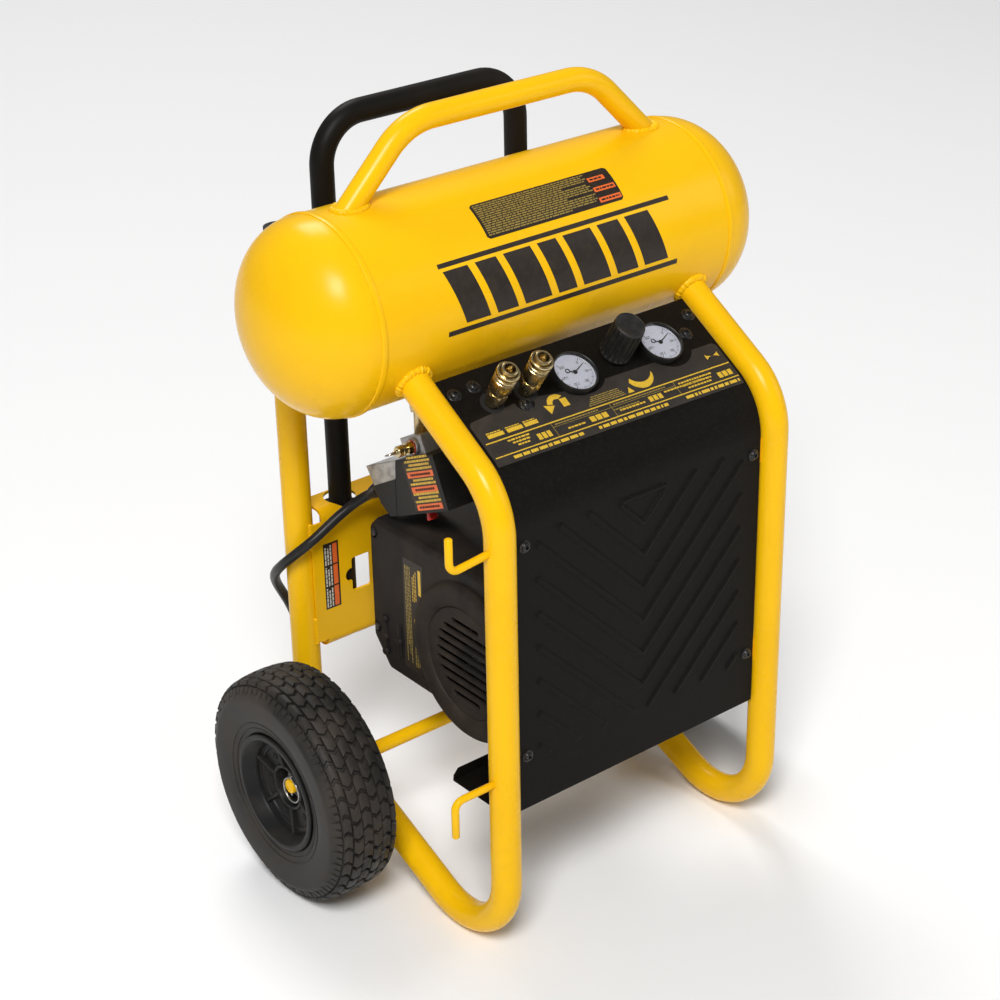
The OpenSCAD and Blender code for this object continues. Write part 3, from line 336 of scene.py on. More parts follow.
def carried(path, around=False):
    """Frames along a line that don't twist: side, up and along at each point."""
    count = len(path)
    heads = []
    for i in range(count):
        a = path[i - 1] if (around or i) else path[0]
        b = path[(i + 1) % count] if (around or i < count - 1) else path[-1]
        heads.append((b - a).normalized())
    side, up, along = basis(heads[0])
    frames = [(side, up, heads[0])]
    for i in range(1, count):
        turn = heads[i - 1].rotation_difference(heads[i])
        side = (turn @ side).normalized()
        side = (side - heads[i] * side.dot(heads[i])).normalized()
        frames.append((side, heads[i].cross(side), heads[i]))
    return frames


def rounded(points, radius, steps=12, around=False):
    """The line through points, with an arc of that radius at each corner."""
    points = [Vector(p) for p in points]
    radii = radius if hasattr(radius, "__len__") else [radius] * len(points)
    out = []
    for i, p in enumerate(points):
        if not around and i in (0, len(points) - 1):
            out.append(p)
            continue
        a = (points[i - 1] - p).normalized()
        b = (points[(i + 1) % len(points)] - p).normalized()
        angle = a.angle(b)
        r = radii[i]
        if r <= 0 or angle > pi - 0.01:
            out.append(p)
            continue
        reach = r / tan(angle / 2)
        centre = p + (a + b).normalized() * (r / sin(angle / 2))
        u, v = p + a * reach - centre, p + b * reach - centre
        span = u.angle(v)
        for k in range(steps + 1):
            t = k / steps
            out.append(centre + (u * sin((1 - t) * span) + v * sin(t * span)) / sin(span))
    return out


def flat_round(outline, radius, steps=6):
    """A closed outline in the plane with its corners rounded."""
    return [(p.x, p.y) for p in rounded([(x, y, 0) for x, y in outline], radius, steps, True)]


def baked(o):
    """Turns the modifiers of o into its mesh."""
    bpy.context.view_layer.update()
    done = bpy.data.meshes.new_from_object(o.evaluated_get(bpy.context.evaluated_depsgraph_get()))
    old = o.data
    o.modifiers.clear()
    o.data = done
    bpy.data.meshes.remove(old)


def cut_by(*shapes):
    """Modifier step that takes these shapes away."""
    def add(o):
        for s in shapes:
            mesh = s.mesh("cutter")
            c = put("cutter", mesh)
            m = o.modifiers.new("cut", "BOOLEAN")
            m.operation, m.solver, m.object = "DIFFERENCE", "EXACT", c
            m.use_self = False
            baked(o)
            bpy.data.objects.remove(c)
            bpy.data.meshes.remove(mesh)
    return add


def hoop(radius, height, sides=48, flat=None):
    """Points round the local Z. flat cuts the ring to a hexagon of that half width."""
    out = []
    for k in range(sides):
        a = TAU * k / sides
        r = min(radius, flat / cos((a % (pi / 3)) - pi / 6)) if flat else radius
        out.append(Vector((r * cos(a), r * sin(a), height)))
    return out


def squared(half_x, half_y, sides, power):
    """A closed line between an ellipse and a rectangle. The smaller the power, the squarer."""
    out = []
    for k in range(sides):
        c, s = cos(TAU * k / sides), sin(TAU * k / sides)
        out.append((half_x * copysign(abs(c) ** power, c), half_y * copysign(abs(s) ** power, s)))
    return out


def swung(p, angle):
    """A point turned about the local Z."""
    c, s = cos(angle), sin(angle)
    return Vector((p.x * c - p.y * s, p.x * s + p.y * c, p.z))


def eased(t):
    """Soft step from 0 to 1."""
    t = min(1, max(0, t))
    return t * t * (3 - 2 * t)


def on_slope(across, up=0.0):
    """Places a shape drawn on the sloping panel: X to the right, Y up the slope, Z out of it."""
    def place(p):
        s = up + p.y
        return Vector((across + p.x, FRONT_Y + s * cos(SLOPE) - p.z * sin(SLOPE),
            KNEE_Z + s * sin(SLOPE) + p.z * cos(SLOPE)))
    return place


def on_tank(p):
    """Places a shape drawn on the tank: X along it, Y the distance round it from the top to the front, Z out of it."""
    angle, r = p.y / TANK_R, TANK_R + p.z
    return Vector((p.x, TANK_Y - r * sin(angle), TANK_Z + r * cos(angle)))


# ---- cord: along the CAD's route, then a tied coil on the floor --------------------
CORD_D = 0.011
ROUTE = [(-0.128, 0.2851, 0.4155), (-0.1288, 0.2922, 0.4102), (-0.132, 0.2994, 0.4044),
    (-0.1383, 0.3056, 0.3982), (-0.147, 0.3095, 0.3915), (-0.158, 0.312, 0.3845), (-0.17, 0.3135, 0.377),
    (-0.182, 0.3155, 0.369), (-0.193, 0.319, 0.361), (-0.202, 0.3255, 0.352), (-0.2085, 0.335, 0.3415),
    (-0.2105, 0.347, 0.33), (-0.209, 0.3595, 0.318), (-0.204, 0.371, 0.305), (-0.196, 0.3805, 0.29),
    (-0.186, 0.387, 0.273), (-0.1755, 0.3905, 0.253), (-0.167, 0.392, 0.23), (-0.161, 0.3925, 0.203),
    (-0.1575, 0.3925, 0.173), (-0.157, 0.392, 0.143), (-0.16, 0.3915, 0.115), (-0.167, 0.3915, 0.09),
    (-0.176, 0.393, 0.068), (-0.186, 0.3965, 0.047), (-0.194, 0.403, 0.03), (-0.1985, 0.415, 0.0175),
    (-0.2, 0.434, 0.012)]
ROUTE = [Vector((x, y + FRONT_Y, z)) for x, y, z in ROUTE]
COIL = mid("cord_coil")
OUTER_TURN, INNER_TURN, TOP_TURN = 0.0655, 0.0545, 0.0625
LOW_Z, TOP_Z = CORD_D / 2 + 0.0006, CORD_D * 1.5 + 0.0008


def coil_at(turn):
    """Point of the coil after that many turns, clockwise from its left side."""
    radius = TOP_TURN + (OUTER_TURN - TOP_TURN) * eased(turn / 0.15)
    radius += (INNER_TURN - OUTER_TURN) * eased((turn - 0.93) / 0.16)
    radius += (TOP_TURN - INNER_TURN) * eased((turn - 1.9) / 0.16)
    z = 0.0125 + (LOW_Z - 0.0125) * eased(turn / 0.12) + (TOP_Z - LOW_Z) * eased((turn - 1.86) / 0.14)
    a = TAU * turn
    return Vector((COIL.x - radius * cos(a), COIL.y + radius * sin(a), z))


PLUG_X = mid("power_plug").x
PLUG_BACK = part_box("power_plug")[0].y
U_TURN = (COIL.x + TOP_TURN - PLUG_X) / 2
U_Y = COIL.y - 0.034
cord_path = list(ROUTE) + [coil_at(k / 26) for k in range(1, 65)]
for k in range(1, 16):
    a = pi * k / 15
    sink = eased((k - 10.5) / 4.5)
    cord_path.append(Vector((PLUG_X + U_TURN + U_TURN * cos(a), U_Y - U_TURN * sin(a),
        TOP_Z + (0.0125 - TOP_Z) * sink)))


def smoothed(points, steps=4):
    """A denser line through the same points."""
    out = []
    for i in range(len(points) - 1):
        a, b, c, d = points[max(i - 1, 0)], points[i], points[i + 1], points[min(i + 2, len(points) - 1)]
        for k in range(steps):
            t = k / steps
            out.append(0.5 * (2 * b + (c - a) * t + (2 * a - 5 * b + 4 * c - d) * t * t
                + (3 * b - a - 3 * c + d) * t ** 3))
    return out + [points[-1]]


if PLUG_BACK > cord_path[-1].y + 0.001:
    cord_path.append(Vector((PLUG_X, PLUG_BACK + 0.002, 0.0125)))
cord_line = smoothed(cord_path)
cord = Shape().tube(cord_line, CORD_D / 2, 16, ends=((0, 0.9), (0.0005, 1.0))).made("power_cord_run",
    "cord_rubber", "frame", ("power_cord", "cord_coil"), smooth=60)

plug = Shape()
plug_low, plug_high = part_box("power_plug")
BODY_END = plug_high.y - 0.018
PLUG_Z = 0.012
sections = []
for t, half_x, half_z in ((0.0, 0.0068, 0.0066), (0.004, 0.0074, 0.0072), (0.01, 0.0085, 0.008),
        (0.0135, 0.0122, 0.0108), (0.018, 0.013, 0.0116), (0.026, 0.0118, 0.0108), (0.031, 0.0126, 0.0114),
        (0.0355, 0.013, 0.0118), (0.038, 0.0122, 0.011)):
    sections.append([(PLUG_X + x, plug_low.y + t, PLUG_Z + z) for x, z in squared(half_x, half_z, 40, 0.55)])
plug.rings(sections)
for k in range(4):
    y = plug_low.y + 0.0015 + k * 0.0026
    plug.tube([(PLUG_X + 0.0082 * cos(TAU * i / 24), y, PLUG_Z + 0.008 * sin(TAU * i / 24)) for i in range(24)],
        0.0008, 8, around=True)
plug_body = plug.made("plug_body", "cord_rubber", "frame", ("power_plug",), smooth=40)
blades = Shape()
for side in (-1, 1):
    blades.block((PLUG_X + side * 0.00635 - 0.0008, BODY_END - 0.002, 0.009),
        (PLUG_X + side * 0.00635 + 0.0008, plug_high.y, 0.015))
blades.tube([(PLUG_X, BODY_END - 0.002, 0.019), (PLUG_X, plug_high.y, 0.019)], 0.0024, 20,
    ends=((0, 0.35), (0.0012, 0.8), (0.0024, 1)))
plug_blades = blades.made("plug_blades", "brass", bevel=0.0004, steps=2)

tie = Shape()
TIE = 0.3
tie_at = Vector((COIL.x - 0.06 * cos(TAU * TIE), COIL.y + 0.06 * sin(TAU * TIE), 0))
tie_out = Vector((-cos(TAU * TIE), sin(TAU * TIE), 0))
tie_side = Vector((0, 0, 1)).cross(tie_out)
loop = rounded([(-0.0117, 0, 0.0004), (0.0117, 0, 0.0004), (0.0117, 0, 0.01), (0.0062, 0, 0.0236),
    (-0.0062, 0, 0.0236), (-0.0117, 0, 0.01)], [0.005, 0.005, 0.006, 0.005, 0.005, 0.006], 5, True)
rings = []
for i, p in enumerate(loop):
    a, b = loop[i - 1], loop[(i + 1) % len(loop)]
    out = Vector((b.z - a.z, 0, a.x - b.x)).normalized() * 0.0004
    rings.append([tie_at + tie_out * (p.x + out.x * k) + tie_side * w + Vector((0, 0,
        max(0.0001, p.z + out.z * k))) for k, w in ((1, -0.0045), (1, 0.0045), (-1, 0.0045), (-1, -0.0045))])
tie.rings(rings, True, (False, False), True)
tie.block((-0.0045, 0.0112, 0.006), (0.0045, 0.015, 0.0125), lambda p: tie_at + tie_out * p.y + tie_side * p.x
    + Vector((0, 0, p.z)))
coil_tie = tie.made("coil_tie", "cord_rubber", material=MATS["isolator_rubber"], bevel=0.0003)

tuple(cord_line[0])


# ---- frame tubes and tank ----------------------------------------------------------
def bent_tube(name, points, radius, node):
    """Painted tube of the frame with soft bends."""
    s = Shape().tube(rounded(points, BEND_R, 16), radius, 40, ends=((0, 0.9), (0.0006, 1.0)))
    return s.made(name, "frame_paint", "frame", (node,), smooth=50)


for side, word in ((-1, "left"), (1, "right")):
    x = side * FRAME_X
    start = Vector((x, TANK_Y - (TANK_R - 0.012) * cos(SLOPE), TANK_Z - (TANK_R - 0.012) * sin(SLOPE)))
    bent_tube(f"frame_tube_{word}", [start, (x, FRONT_Y, KNEE_Z), (x, FRONT_Y, FOOT_Z), (x, REAR_Y, REAR_Z),
        (x, REAR_Y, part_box(f"side_tube_{word}")[1].z)], TUBE_R, f"side_tube_{word}")

profile = []
for k in range(0, 25):
    a = pi / 2 * k / 24
    profile.append((TANK_R * sin(a), -SEAM_X - DOME * cos(a)))
for k in range(0, 9):
    a = pi * k / 8
    profile.append((TANK_R + 0.0016 * sin(a) ** 0.5, -SEAM_X + 0.0024 - 0.0036 * cos(a)))
for k in range(1, 20):
    profile.append((TANK_R, -SEAM_X + 0.008 + (SEAM_X - 0.008) * 2 * k / 20))
profile += [(r, -h) for r, h in reversed(profile[:34])]
tank = Shape().turned(profile, (0, TANK_Y, TANK_Z), (1, 0, 0), 144)
tank.made("tank_body", "tank_paint", "frame", ("tank_shell", "tank_heads"), smooth=35)

CARRY_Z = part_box("carry_handle")[1].z - GRIP_R - 0.00015
CARRY_X = 0.118
carry_foot_z = TANK_Z + TANK_R - 0.01
carry_foot_x = CARRY_X + CARRY_Z - carry_foot_z
bent_tube("carry_handle_bar", [(-carry_foot_x, TANK_Y, carry_foot_z), (-CARRY_X, TANK_Y, CARRY_Z),
    (CARRY_X, TANK_Y, CARRY_Z), (carry_foot_x, TANK_Y, carry_foot_z)], GRIP_R, "carry_handle")

# weld beads where the tubes meet the tank
welds = Shape()


def weld_ring(line, size, seed):
    """Rippled bead along a closed line."""
    wobble = random.Random(seed)
    thick = [size * (1 + 0.16 * sin(TAU * i / 3.0) + wobble.uniform(-0.12, 0.12)) for i in range(len(line))]
    welds.tube(line, thick, 12, around=True)


for side in (-1, 1):
    line = []
    for i in range(72):
        a = TAU * i / 72
        across, aside = TUBE_R * 1.02 * cos(a), TUBE_R * 1.02 * sin(a)
        along = sqrt(TANK_R ** 2 - aside ** 2)
        line.append(Vector((side * FRAME_X + across, TANK_Y - along * cos(SLOPE) - aside * sin(SLOPE),
            TANK_Z - along * sin(SLOPE) + aside * cos(SLOPE))))
    weld_ring(line, 0.0042, 3 + side)
    line = []
    lean = Vector((-side, 0, 1)).normalized()
    flat = Vector((side, 0, 1)).normalized()
    for i in range(64):
        a = TAU * i / 64
        off = Vector((0, 1, 0)) * GRIP_R * 1.03 * cos(a) + flat * GRIP_R * 1.03 * sin(a)
        foot = Vector((side * carry_foot_x, TANK_Y, carry_foot_z)) + off
        top = TANK_Z + sqrt(TANK_R ** 2 - off.y ** 2)
        line.append(foot + lean * (top - foot.z) / lean.z)
    weld_ring(line, 0.0037, 11 + side)
welds.made("weld_beads", "frame_paint", "frame", ("weld_collars",), smooth=60)


# ---- pull handle, rear plate, axle ---------------------------------------------------
GUIDE_Y = mid("pull_handle").y
PULL_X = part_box("pull_handle")[1].x - GRIP_R
pull_low, pull_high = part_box("pull_handle")
line = rounded([(-PULL_X, GUIDE_Y, pull_low.z), (-PULL_X, GUIDE_Y, pull_high.z - GRIP_R),
    (PULL_X, GUIDE_Y, pull_high.z - GRIP_R), (PULL_X, GUIDE_Y, pull_low.z)], 0.05, 16)
Shape().tube(line, GRIP_R, 40, ends=((0.05, 0.87), (0.0, 0.87), (0.0, 0.97),
    (0.0006, 1.0))).made("pull_handle_bar", "handle_paint", "pull_handle_body", ("pull_handle",), smooth=50)


def drum(x, y, z, radius, length, axis):
    """Round cutter centred on a point."""
    return Shape().turned([(radius, -length / 2), (radius, length / 2)], (x, y, z), axis, 48)


def brick(low, high):
    """Square cutter between two corners."""
    return Shape().block(low, high)


def sheet_outline(line, thick):
    """Closed outline of a bent sheet, from its middle line in a plane."""
    out, back = [], []
    for i, p in enumerate(line):
        a, b = line[max(i - 1, 0)], line[min(i + 1, len(line) - 1)]
        n = Vector((-(b - a).y, (b - a).x)).normalized() * thick / 2
        out.append((p[0] + n.x, p[1] + n.y))
        back.append((p[0] - n.x, p[1] - n.y))
    return out + back[::-1]


def across_x(p):
    """A shape drawn in YZ and pushed along X."""
    return Vector((p.z, p.x, p.y))


plate_low, plate_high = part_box("rear_plate")
PLATE_T = 0.003
half = plate_high.x
fold = rounded([(plate_high.y, plate_high.z - PLATE_T / 2, 0), (plate_low.y + PLATE_T / 2,
    plate_high.z - PLATE_T / 2, 0), (plate_low.y + PLATE_T / 2, plate_low.z + PLATE_T / 2, 0),
    (plate_high.y, plate_low.z + PLATE_T / 2, 0)], [0, 0.011, 0.011, 0], 10)
fold = [Vector((p.x, p.y)) for p in fold]
cutters = []
for side in (-1, 1):
    a, b = sorted((side * 0.165, side * 0.2))
    cutters.append(brick((a, plate_low.y - 0.01, plate_high.z - 0.013),
        (b, plate_high.y + 0.01, plate_high.z + 0.01)))
    cutters.append(brick((a, plate_low.y - 0.01, plate_low.z - 0.01), (b, plate_high.y + 0.01,
        plate_low.z + 0.012)))
    cutters.append(brick((a, plate_low.y + PLATE_T, plate_low.z - 0.01),
        (b, plate_high.y + 0.01, plate_high.z + 0.01)))
    cutters.append(drum(side * PULL_X, GUIDE_Y + 0.0015, plate_high.z, 0.018, 0.02, (0, 0, 1)))
    cutters.append(drum(side * PULL_X, GUIDE_Y, plate_low.z, 0.0146, 0.02, (0, 0, 1)))
    slot_hole = Shape().prism(flat_round([(side * 0.117 - 0.0125, 0.277), (side * 0.117 + 0.0125, 0.277),
        (side * 0.117 + 0.0125, 0.318), (side * 0.117 - 0.0125, 0.318)], 0.003), -0.02, 0.02,
        lambda p: Vector((p.x, plate_low.y - p.z, p.y)))
    cutters.append(slot_hole)
    cutters.append(drum(side * 0.13, plate_low.y, 0.298, 0.008, 0.02, (0, 1, 0)))
    notch = Shape().prism(flat_round([(side * 0.1735 - 0.0065, 0.264), (side * 0.19, 0.264),
        (side * 0.19, 0.338), (side * 0.1735 - 0.0065, 0.338)][::side], 0.006), -0.02, 0.02,
        lambda p: Vector((p.x, plate_low.y - p.z, p.y)))
    cutters.append(notch)
Shape().prism(sheet_outline(fold, PLATE_T), -half, half, across_x).made("rear_plate_folded", "frame_paint",
    "frame", ("rear_plate",), bevel=0.0006, modifiers=[cut_by(*cutters)])
beads = Shape()
for side in (-1, 1):
    for low, high in ((0.226, 0.259), (0.343, 0.376)):
        count = 22
        line = [(side * (half + 0.0002), plate_low.y + PLATE_T - 0.0002, low + (high - low) * k / count)
            for k in range(count + 1)]
        beads.tube(line, [0.0022 * (1 + 0.22 * sin(k * 2.1)) for k in range(count + 1)], 10,
            ends=((0, 0.4), (0.0008, 0.85), (0.0016, 1)))
beads.made("plate_beads", "frame_paint", smooth=60)

AXLE = mid("axle")
axle_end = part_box("axle")[1].x
Shape().turned([(0.0066, -axle_end), (0.0074, -axle_end + 0.0004), (0.00795, -axle_end + 0.0012),
    (0.00795, axle_end - 0.0012), (0.0074, axle_end - 0.0004), (0.0066, axle_end)], (0, AXLE.y, AXLE.z),
    (1, 0, 0), 48).made("axle_bar", "frame_paint", "frame", ("axle",))
rings = Shape()
for side in (-1, 1):
    out = side * 0.2744
    at = (out + side * 0.0009, AXLE.y, AXLE.z)
    rings.turned([(0.0081, -0.0009), (0.0148, -0.0009), (0.015, -0.0005), (0.015, 0.0005), (0.0148, 0.0009),
        (0.0081, 0.0009)], at, (1, 0, 0), 40, closed=True)
    rings.turned([(0.0081, -0.0202), (0.011, -0.0202), (0.011, 0.0202), (0.0081, 0.0202)],
        (side * 0.2078, AXLE.y, AXLE.z), (1, 0, 0), 40, closed=True)
    pin_x = side * 0.281
    rings.tube([(pin_x, AXLE.y, AXLE.z - 0.013), (pin_x, AXLE.y, AXLE.z + 0.013)], 0.0016, 16,
        ends=((0, 0.3), (0.0005, 0.75), (0.0014, 1)))
    loop = []
    for k in range(33):
        a = radians(112) + radians(316) * k / 32
        loop.append((pin_x + side * 0.0028, AXLE.y - 0.0032 + 0.014 * cos(a), AXLE.z - 0.0032 + 0.014 * sin(a)))
    loop = [(pin_x, AXLE.y - 0.0004, AXLE.z + 0.0112)] + loop[1:-1] + [(pin_x, AXLE.y + 0.0004,
        AXLE.z + 0.0112)]
    rings.tube(loop, 0.0012, 12, ends=((0, 0.5), (0.0006, 1)))
rings.made("axle_ring_pins", "zinc", "frame", ("axle_pins",), smooth=45)

hooks = Shape()
for points in ([(-FRAME_X - TUBE_R + 0.0015, 0.481), (-0.245, 0.476), (-0.245, 0.514)],
        [(-FRAME_X - TUBE_R + 0.0015, 0.219), (-0.247, 0.219), (-0.247, 0.177)]):
    line = rounded([(x, FRONT_Y, z) for x, z in points], 0.01, 10)
    hooks.tube(line, 0.004, 20, ends=((0, 0.55), (0.0006, 0.85), (0.0016, 1.0)))
    a = Vector((points[0][0] + 0.0004, FRONT_Y, points[0][1]))
    lean = (Vector(line[1]) - Vector(line[0])).normalized()
    side, up, _ = basis(lean)
    hooks.tube([a + (side * cos(TAU * k / 28) + up * sin(TAU * k / 28)) * 0.0046 - lean * 0.0006
        for k in range(28)], [0.0016 * (1 + 0.25 * sin(k * 1.9)) for k in range(28)], 8, around=True)
hooks.made("cord_hook_rods", "frame_paint", "frame", ("cord_hooks",), smooth=50)


# ---- front panel ---------------------------------------------------------------------
PANEL_FACE = FRONT_Y - PANEL_T / 2
OUT_R = BEND_R + PANEL_T / 2


def on_panel(p):
    """X across, Y up the slope from the knee and round the bend below it, Z out of the outer face."""
    if p.y >= BEND_START:
        return on_slope(p.x)(Vector((0, p.y, p.z + PANEL_T / 2)))
    a = pi / 2 - SLOPE - (BEND_START - p.y) / OUT_R
    r = OUT_R + p.z
    return Vector((p.x, FRONT_Y + BEND_R - r * cos(a), KNEE_Z - BEND_START + r * sin(a)))


def on_front(p):
    """X across, Y is height, Z out of the flat front."""
    return Vector((p.x, PANEL_FACE - p.z, p.y))


line = [Vector((FRONT_Y, PANEL_LOW)), Vector((FRONT_Y, 0.3)), Vector((FRONT_Y, KNEE_Z - BEND_START))]
for k in range(1, 29):
    a = (pi / 2 - SLOPE) * k / 28
    line.append(Vector((FRONT_Y + BEND_R - BEND_R * cos(a), KNEE_Z - BEND_START + BEND_R * sin(a))))
line.append(Vector((FRONT_Y + SLOPE_END * cos(SLOPE), KNEE_Z + SLOPE_END * sin(SLOPE))))
panel = Shape().prism(sheet_outline(line, PANEL_T), -PANEL_X, PANEL_X, across_x)
panel.block((-PANEL_X, FRONT_Y + 0.0005, PANEL_LOW), (PANEL_X, FRONT_Y + 0.0185, PANEL_LOW + PANEL_T))
TRAY_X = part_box("front_panel")[1].x
TRAY_Y = FRONT_Y + 0.088
panel.block((-TRAY_X, FRONT_Y + 0.018, PANEL_LOW), (TRAY_X, TRAY_Y, PANEL_LOW + PANEL_T))
panel.prism([(-TRAY_X, PANEL_LOW), (-TRAY_X, PANEL_LOW + 0.0065), (-TRAY_X + 0.006, PANEL_LOW + 0.0135),
    (TRAY_X - 0.006, PANEL_LOW + 0.0135), (TRAY_X, PANEL_LOW + 0.0065), (TRAY_X, PANEL_LOW)], 0, PANEL_T,
    lambda p: Vector((p.x, TRAY_Y - p.z, p.y)))
panel.made("front_panel_sheet", "panel_paint", "frame", ("front_panel",), bevel=0.0005, steps=2, smooth=30)


def ridge(shape, line, width, height, place, around=False, across=9):
    """Soft raised rib along a line in the plane, with round ends."""
    def lift(v):
        return height * eased((1 - abs(v)) * 1.5) - 0.00012
    line = [Vector((p[0], p[1])) for p in line]
    rows = []
    for i, p in enumerate(line):
        a = line[i - 1] if around or i else p
        b = line[(i + 1) % len(line)] if around or i < len(line) - 1 else p
        d = (b - a).normalized()
        n = Vector((-d.y, d.x))
        rows.append([Vector((*(p + n * width / 2 * v), lift(v))) for v in [2 * k / across - 1
            for k in range(across + 1)]])
    shape.rings(rows, False, (False, False), around, place)
    if not around:
        for p, q in ((line[0], line[1]), (line[-1], line[-2])):
            d = (p - q).normalized()
            n = Vector((-d.y, d.x))
            fan = []
            for k in range(13):
                a = pi * (k / 12 - 0.5)
                e = d * cos(a) + n * sin(a)
                fan.append([Vector((*(p + e * width / 2 * v), lift(v))) for v in [j / 6 for j in range(7)]])
            shape.rings(fan, False, (False, False), False, place)


ribs = Shape()
for i in range(9):
    start = 0.41 - i * 0.0385
    x0, x1 = max(0.002, 0.229 - start), min(0.137, 0.481 - start)
    for side in (-1, 1):
        count = 8
        line = [(side * (x0 + (x1 - x0) * k / count), start + x0 + (x1 - x0) * k / count)
            for k in range(count + 1)]
        ridge(ribs, line, 0.0098, 0.0022, on_front)
corner = rounded([(-0.0345, 0.4805, 0), (0.0345, 0.4805, 0), (0, 0.447, 0)], 0.0035, 5, True)
dense = []
for a, b in zip(corner, corner[1:] + corner[:1]):
    steps = max(1, int((b - a).length / 0.006))
    dense += [a + (b - a) * k / steps for k in range(steps)]
ridge(ribs, dense, 0.0082, 0.0022, on_front, around=True)
ribs.made("panel_ribs", "panel_paint", smooth=60)


def screw(shape, place, head=0.005, flange=0.0076):
    """Round-headed screw with a flange and a six-sided recess."""
    rings = []
    for r, h in ((flange, 0.0), (flange, 0.0007), (flange - 0.0006, 0.0011), (head + 0.0004, 0.0012),
            (head, 0.0016), (head * 0.97, 0.0024), (head * 0.86, 0.0033), (head * 0.66, 0.0039),
            (head * 0.48, 0.0041)):
        rings.append(hoop(r, h, 36))
    for deep in (0.0041, 0.0018):
        rings.append(hoop(head, deep, 36, head * 0.44 * cos(pi / 6)))
    shape.rings(rings, True, (False, True), False, place)


screws = Shape()
for side in (-1, 1):
    for z in (0.235, 0.474):
        screw(screws, lambda p, x=side * 0.154, z=z: on_front(Vector((x + p.x, z + p.y, p.z))), 0.005, 0.0066)
for x, s in ((-0.154, 0.122), (-0.129, 0.124), (-0.089, 0.0865), (0.156, 0.122), (0.137, 0.102)):
    screw(screws, lambda p, x=x, s=s: on_panel(Vector((x + p.x, s + p.y, p.z))))
screws.made("panel_screw_heads", "black_screw", "frame", ("panel_screws",), smooth=40)


# ---- printed labels: bars and plain shapes only ----------------------------------------
def patch(shape, x0, x1, y0, y1, low, high, place, nx=1, ny=1):
    """Thin slab over a rectangle, in cells, so that it can follow a curved face."""
    rows = []
    for j in range(ny + 1):
        y = y0 + (y1 - y0) * j / ny
        top = [Vector((x0 + (x1 - x0) * i / nx, y, high)) for i in range(nx + 1)]
        under = [Vector((p.x, p.y, low)) for p in reversed(top)]
        rows.append(top + under)
    shape.rings(rows, True, (True, True), False, place)


def words(shape, x0, x1, y0, y1, height, place, seed, longest=0.0075, gap=0.0012):
    """A row of dashes."""
    pick = random.Random(seed)
    x = x0
    while x < x1 - 0.001:
        w = min(pick.uniform(0.0022, longest), x1 - x)
        patch(shape, x, x + w, y0, y1, height - 0.00006, height, place)
        x += w + gap


def printed(shape, name, slot, ink):
    """Print in a material of its own. The slot argument, of what the print lies on, is not used."""
    shape.made(name, slot, material=MATS[ink], smooth=30)


LABEL_LEAN = -0.02


def on_label(p):
    """The panel's bend and slope, with the label's slight lean."""
    return on_panel(Vector((p.x, p.y + LABEL_LEAN * p.x, p.z)))


def arc(cx, cy, r, from_deg, to_deg, steps=14):
    return [(cx + r * cos(radians(from_deg + (to_deg - from_deg) * k / steps)),
        cy + r * sin(radians(from_deg + (to_deg - from_deg) * k / steps))) for k in range(steps + 1)]


LABEL_X = 0.161
outline = [(-LABEL_X, BEND_START + 0.0036), (LABEL_X, BEND_START + 0.0036), (LABEL_X, 0.0805), (0.1575, 0.0845)]
outline += arc(0.1045, 0.1015, 0.0305, -34, -146)
outline += arc(-0.0105, 0.104, 0.03, -41, -139)
outline += arc(-0.089, 0.088, 0.0108, 12, -192)
outline += [(-0.1575, 0.0845), (-LABEL_X, 0.0805)]
label = Shape()
label.prism(outline[::-1], 0.00008, 0.00022, on_label)
patch(label, -LABEL_X, LABEL_X, 0.0295, BEND_START + 0.0037, 0.00008, 0.00022, on_label, 4, 8)
printed(label, "control_label", "panel_paint", "ink_label")
INK = 0.00034


def bar(shape, x0, x1, y0, y1, cells=1):
    """Bar on the control label."""
    patch(shape, x0, x1, y0, y1, 0.0002, INK, on_label, cells)


def row(shape, x0, x1, y0, y1, seed, longest, gap):
    """Row of dashes on the control label."""
    words(shape, x0, x1, y0, y1, INK, on_label, seed, longest, gap)


ink = Shape()
bar(ink, -LABEL_X + 0.003, LABEL_X - 0.001, 0.0562, 0.0576, 6)
bar(ink, -LABEL_X + 0.003, LABEL_X - 0.001, 0.0386, 0.0398, 6)
for k, (a, b) in enumerate(((-0.139, -0.052), (-0.032, 0.061), (0.084, 0.158))):
    row(ink, a, b, 0.0328, 0.0361, 20 + k, 0.0105, 0.0018)
for a, b in ((-0.151, -0.1315), (-0.1275, -0.1085), (-0.106, -0.0895)):
    bar(ink, a, b, 0.0615, 0.066)
    row(ink, a, b - 0.002, 0.0668, 0.068, int(b * 5000), 0.005, 0.0008)
for a, b, size in ((-0.101, -0.083, 0.0072), (-0.035, -0.0115, 0.0062), (0.042, 0.061, 0.0062),
        (0.137, 0.157, 0.0068)):
    x = a
    for k in range(3):
        w = (b - a) / 3 - 0.0014
        bar(ink, x, x + w, 0.0428, 0.0428 + size)
        x += (b - a) / 3
for k, (a, b, y) in enumerate(((-0.134, -0.106, 0.0522), (-0.13, -0.108, 0.0485), (-0.126, -0.11, 0.0448),
        (0.003, 0.036, 0.044), (0.064, 0.118, 0.0475), (0.086, 0.131, 0.051), (0.088, 0.128, 0.047),
        (0.094, 0.126, 0.043), (-0.064, -0.042, 0.044))):
    row(ink, a, b, y, y + 0.0019, 40 + k, 0.005, 0.0008)
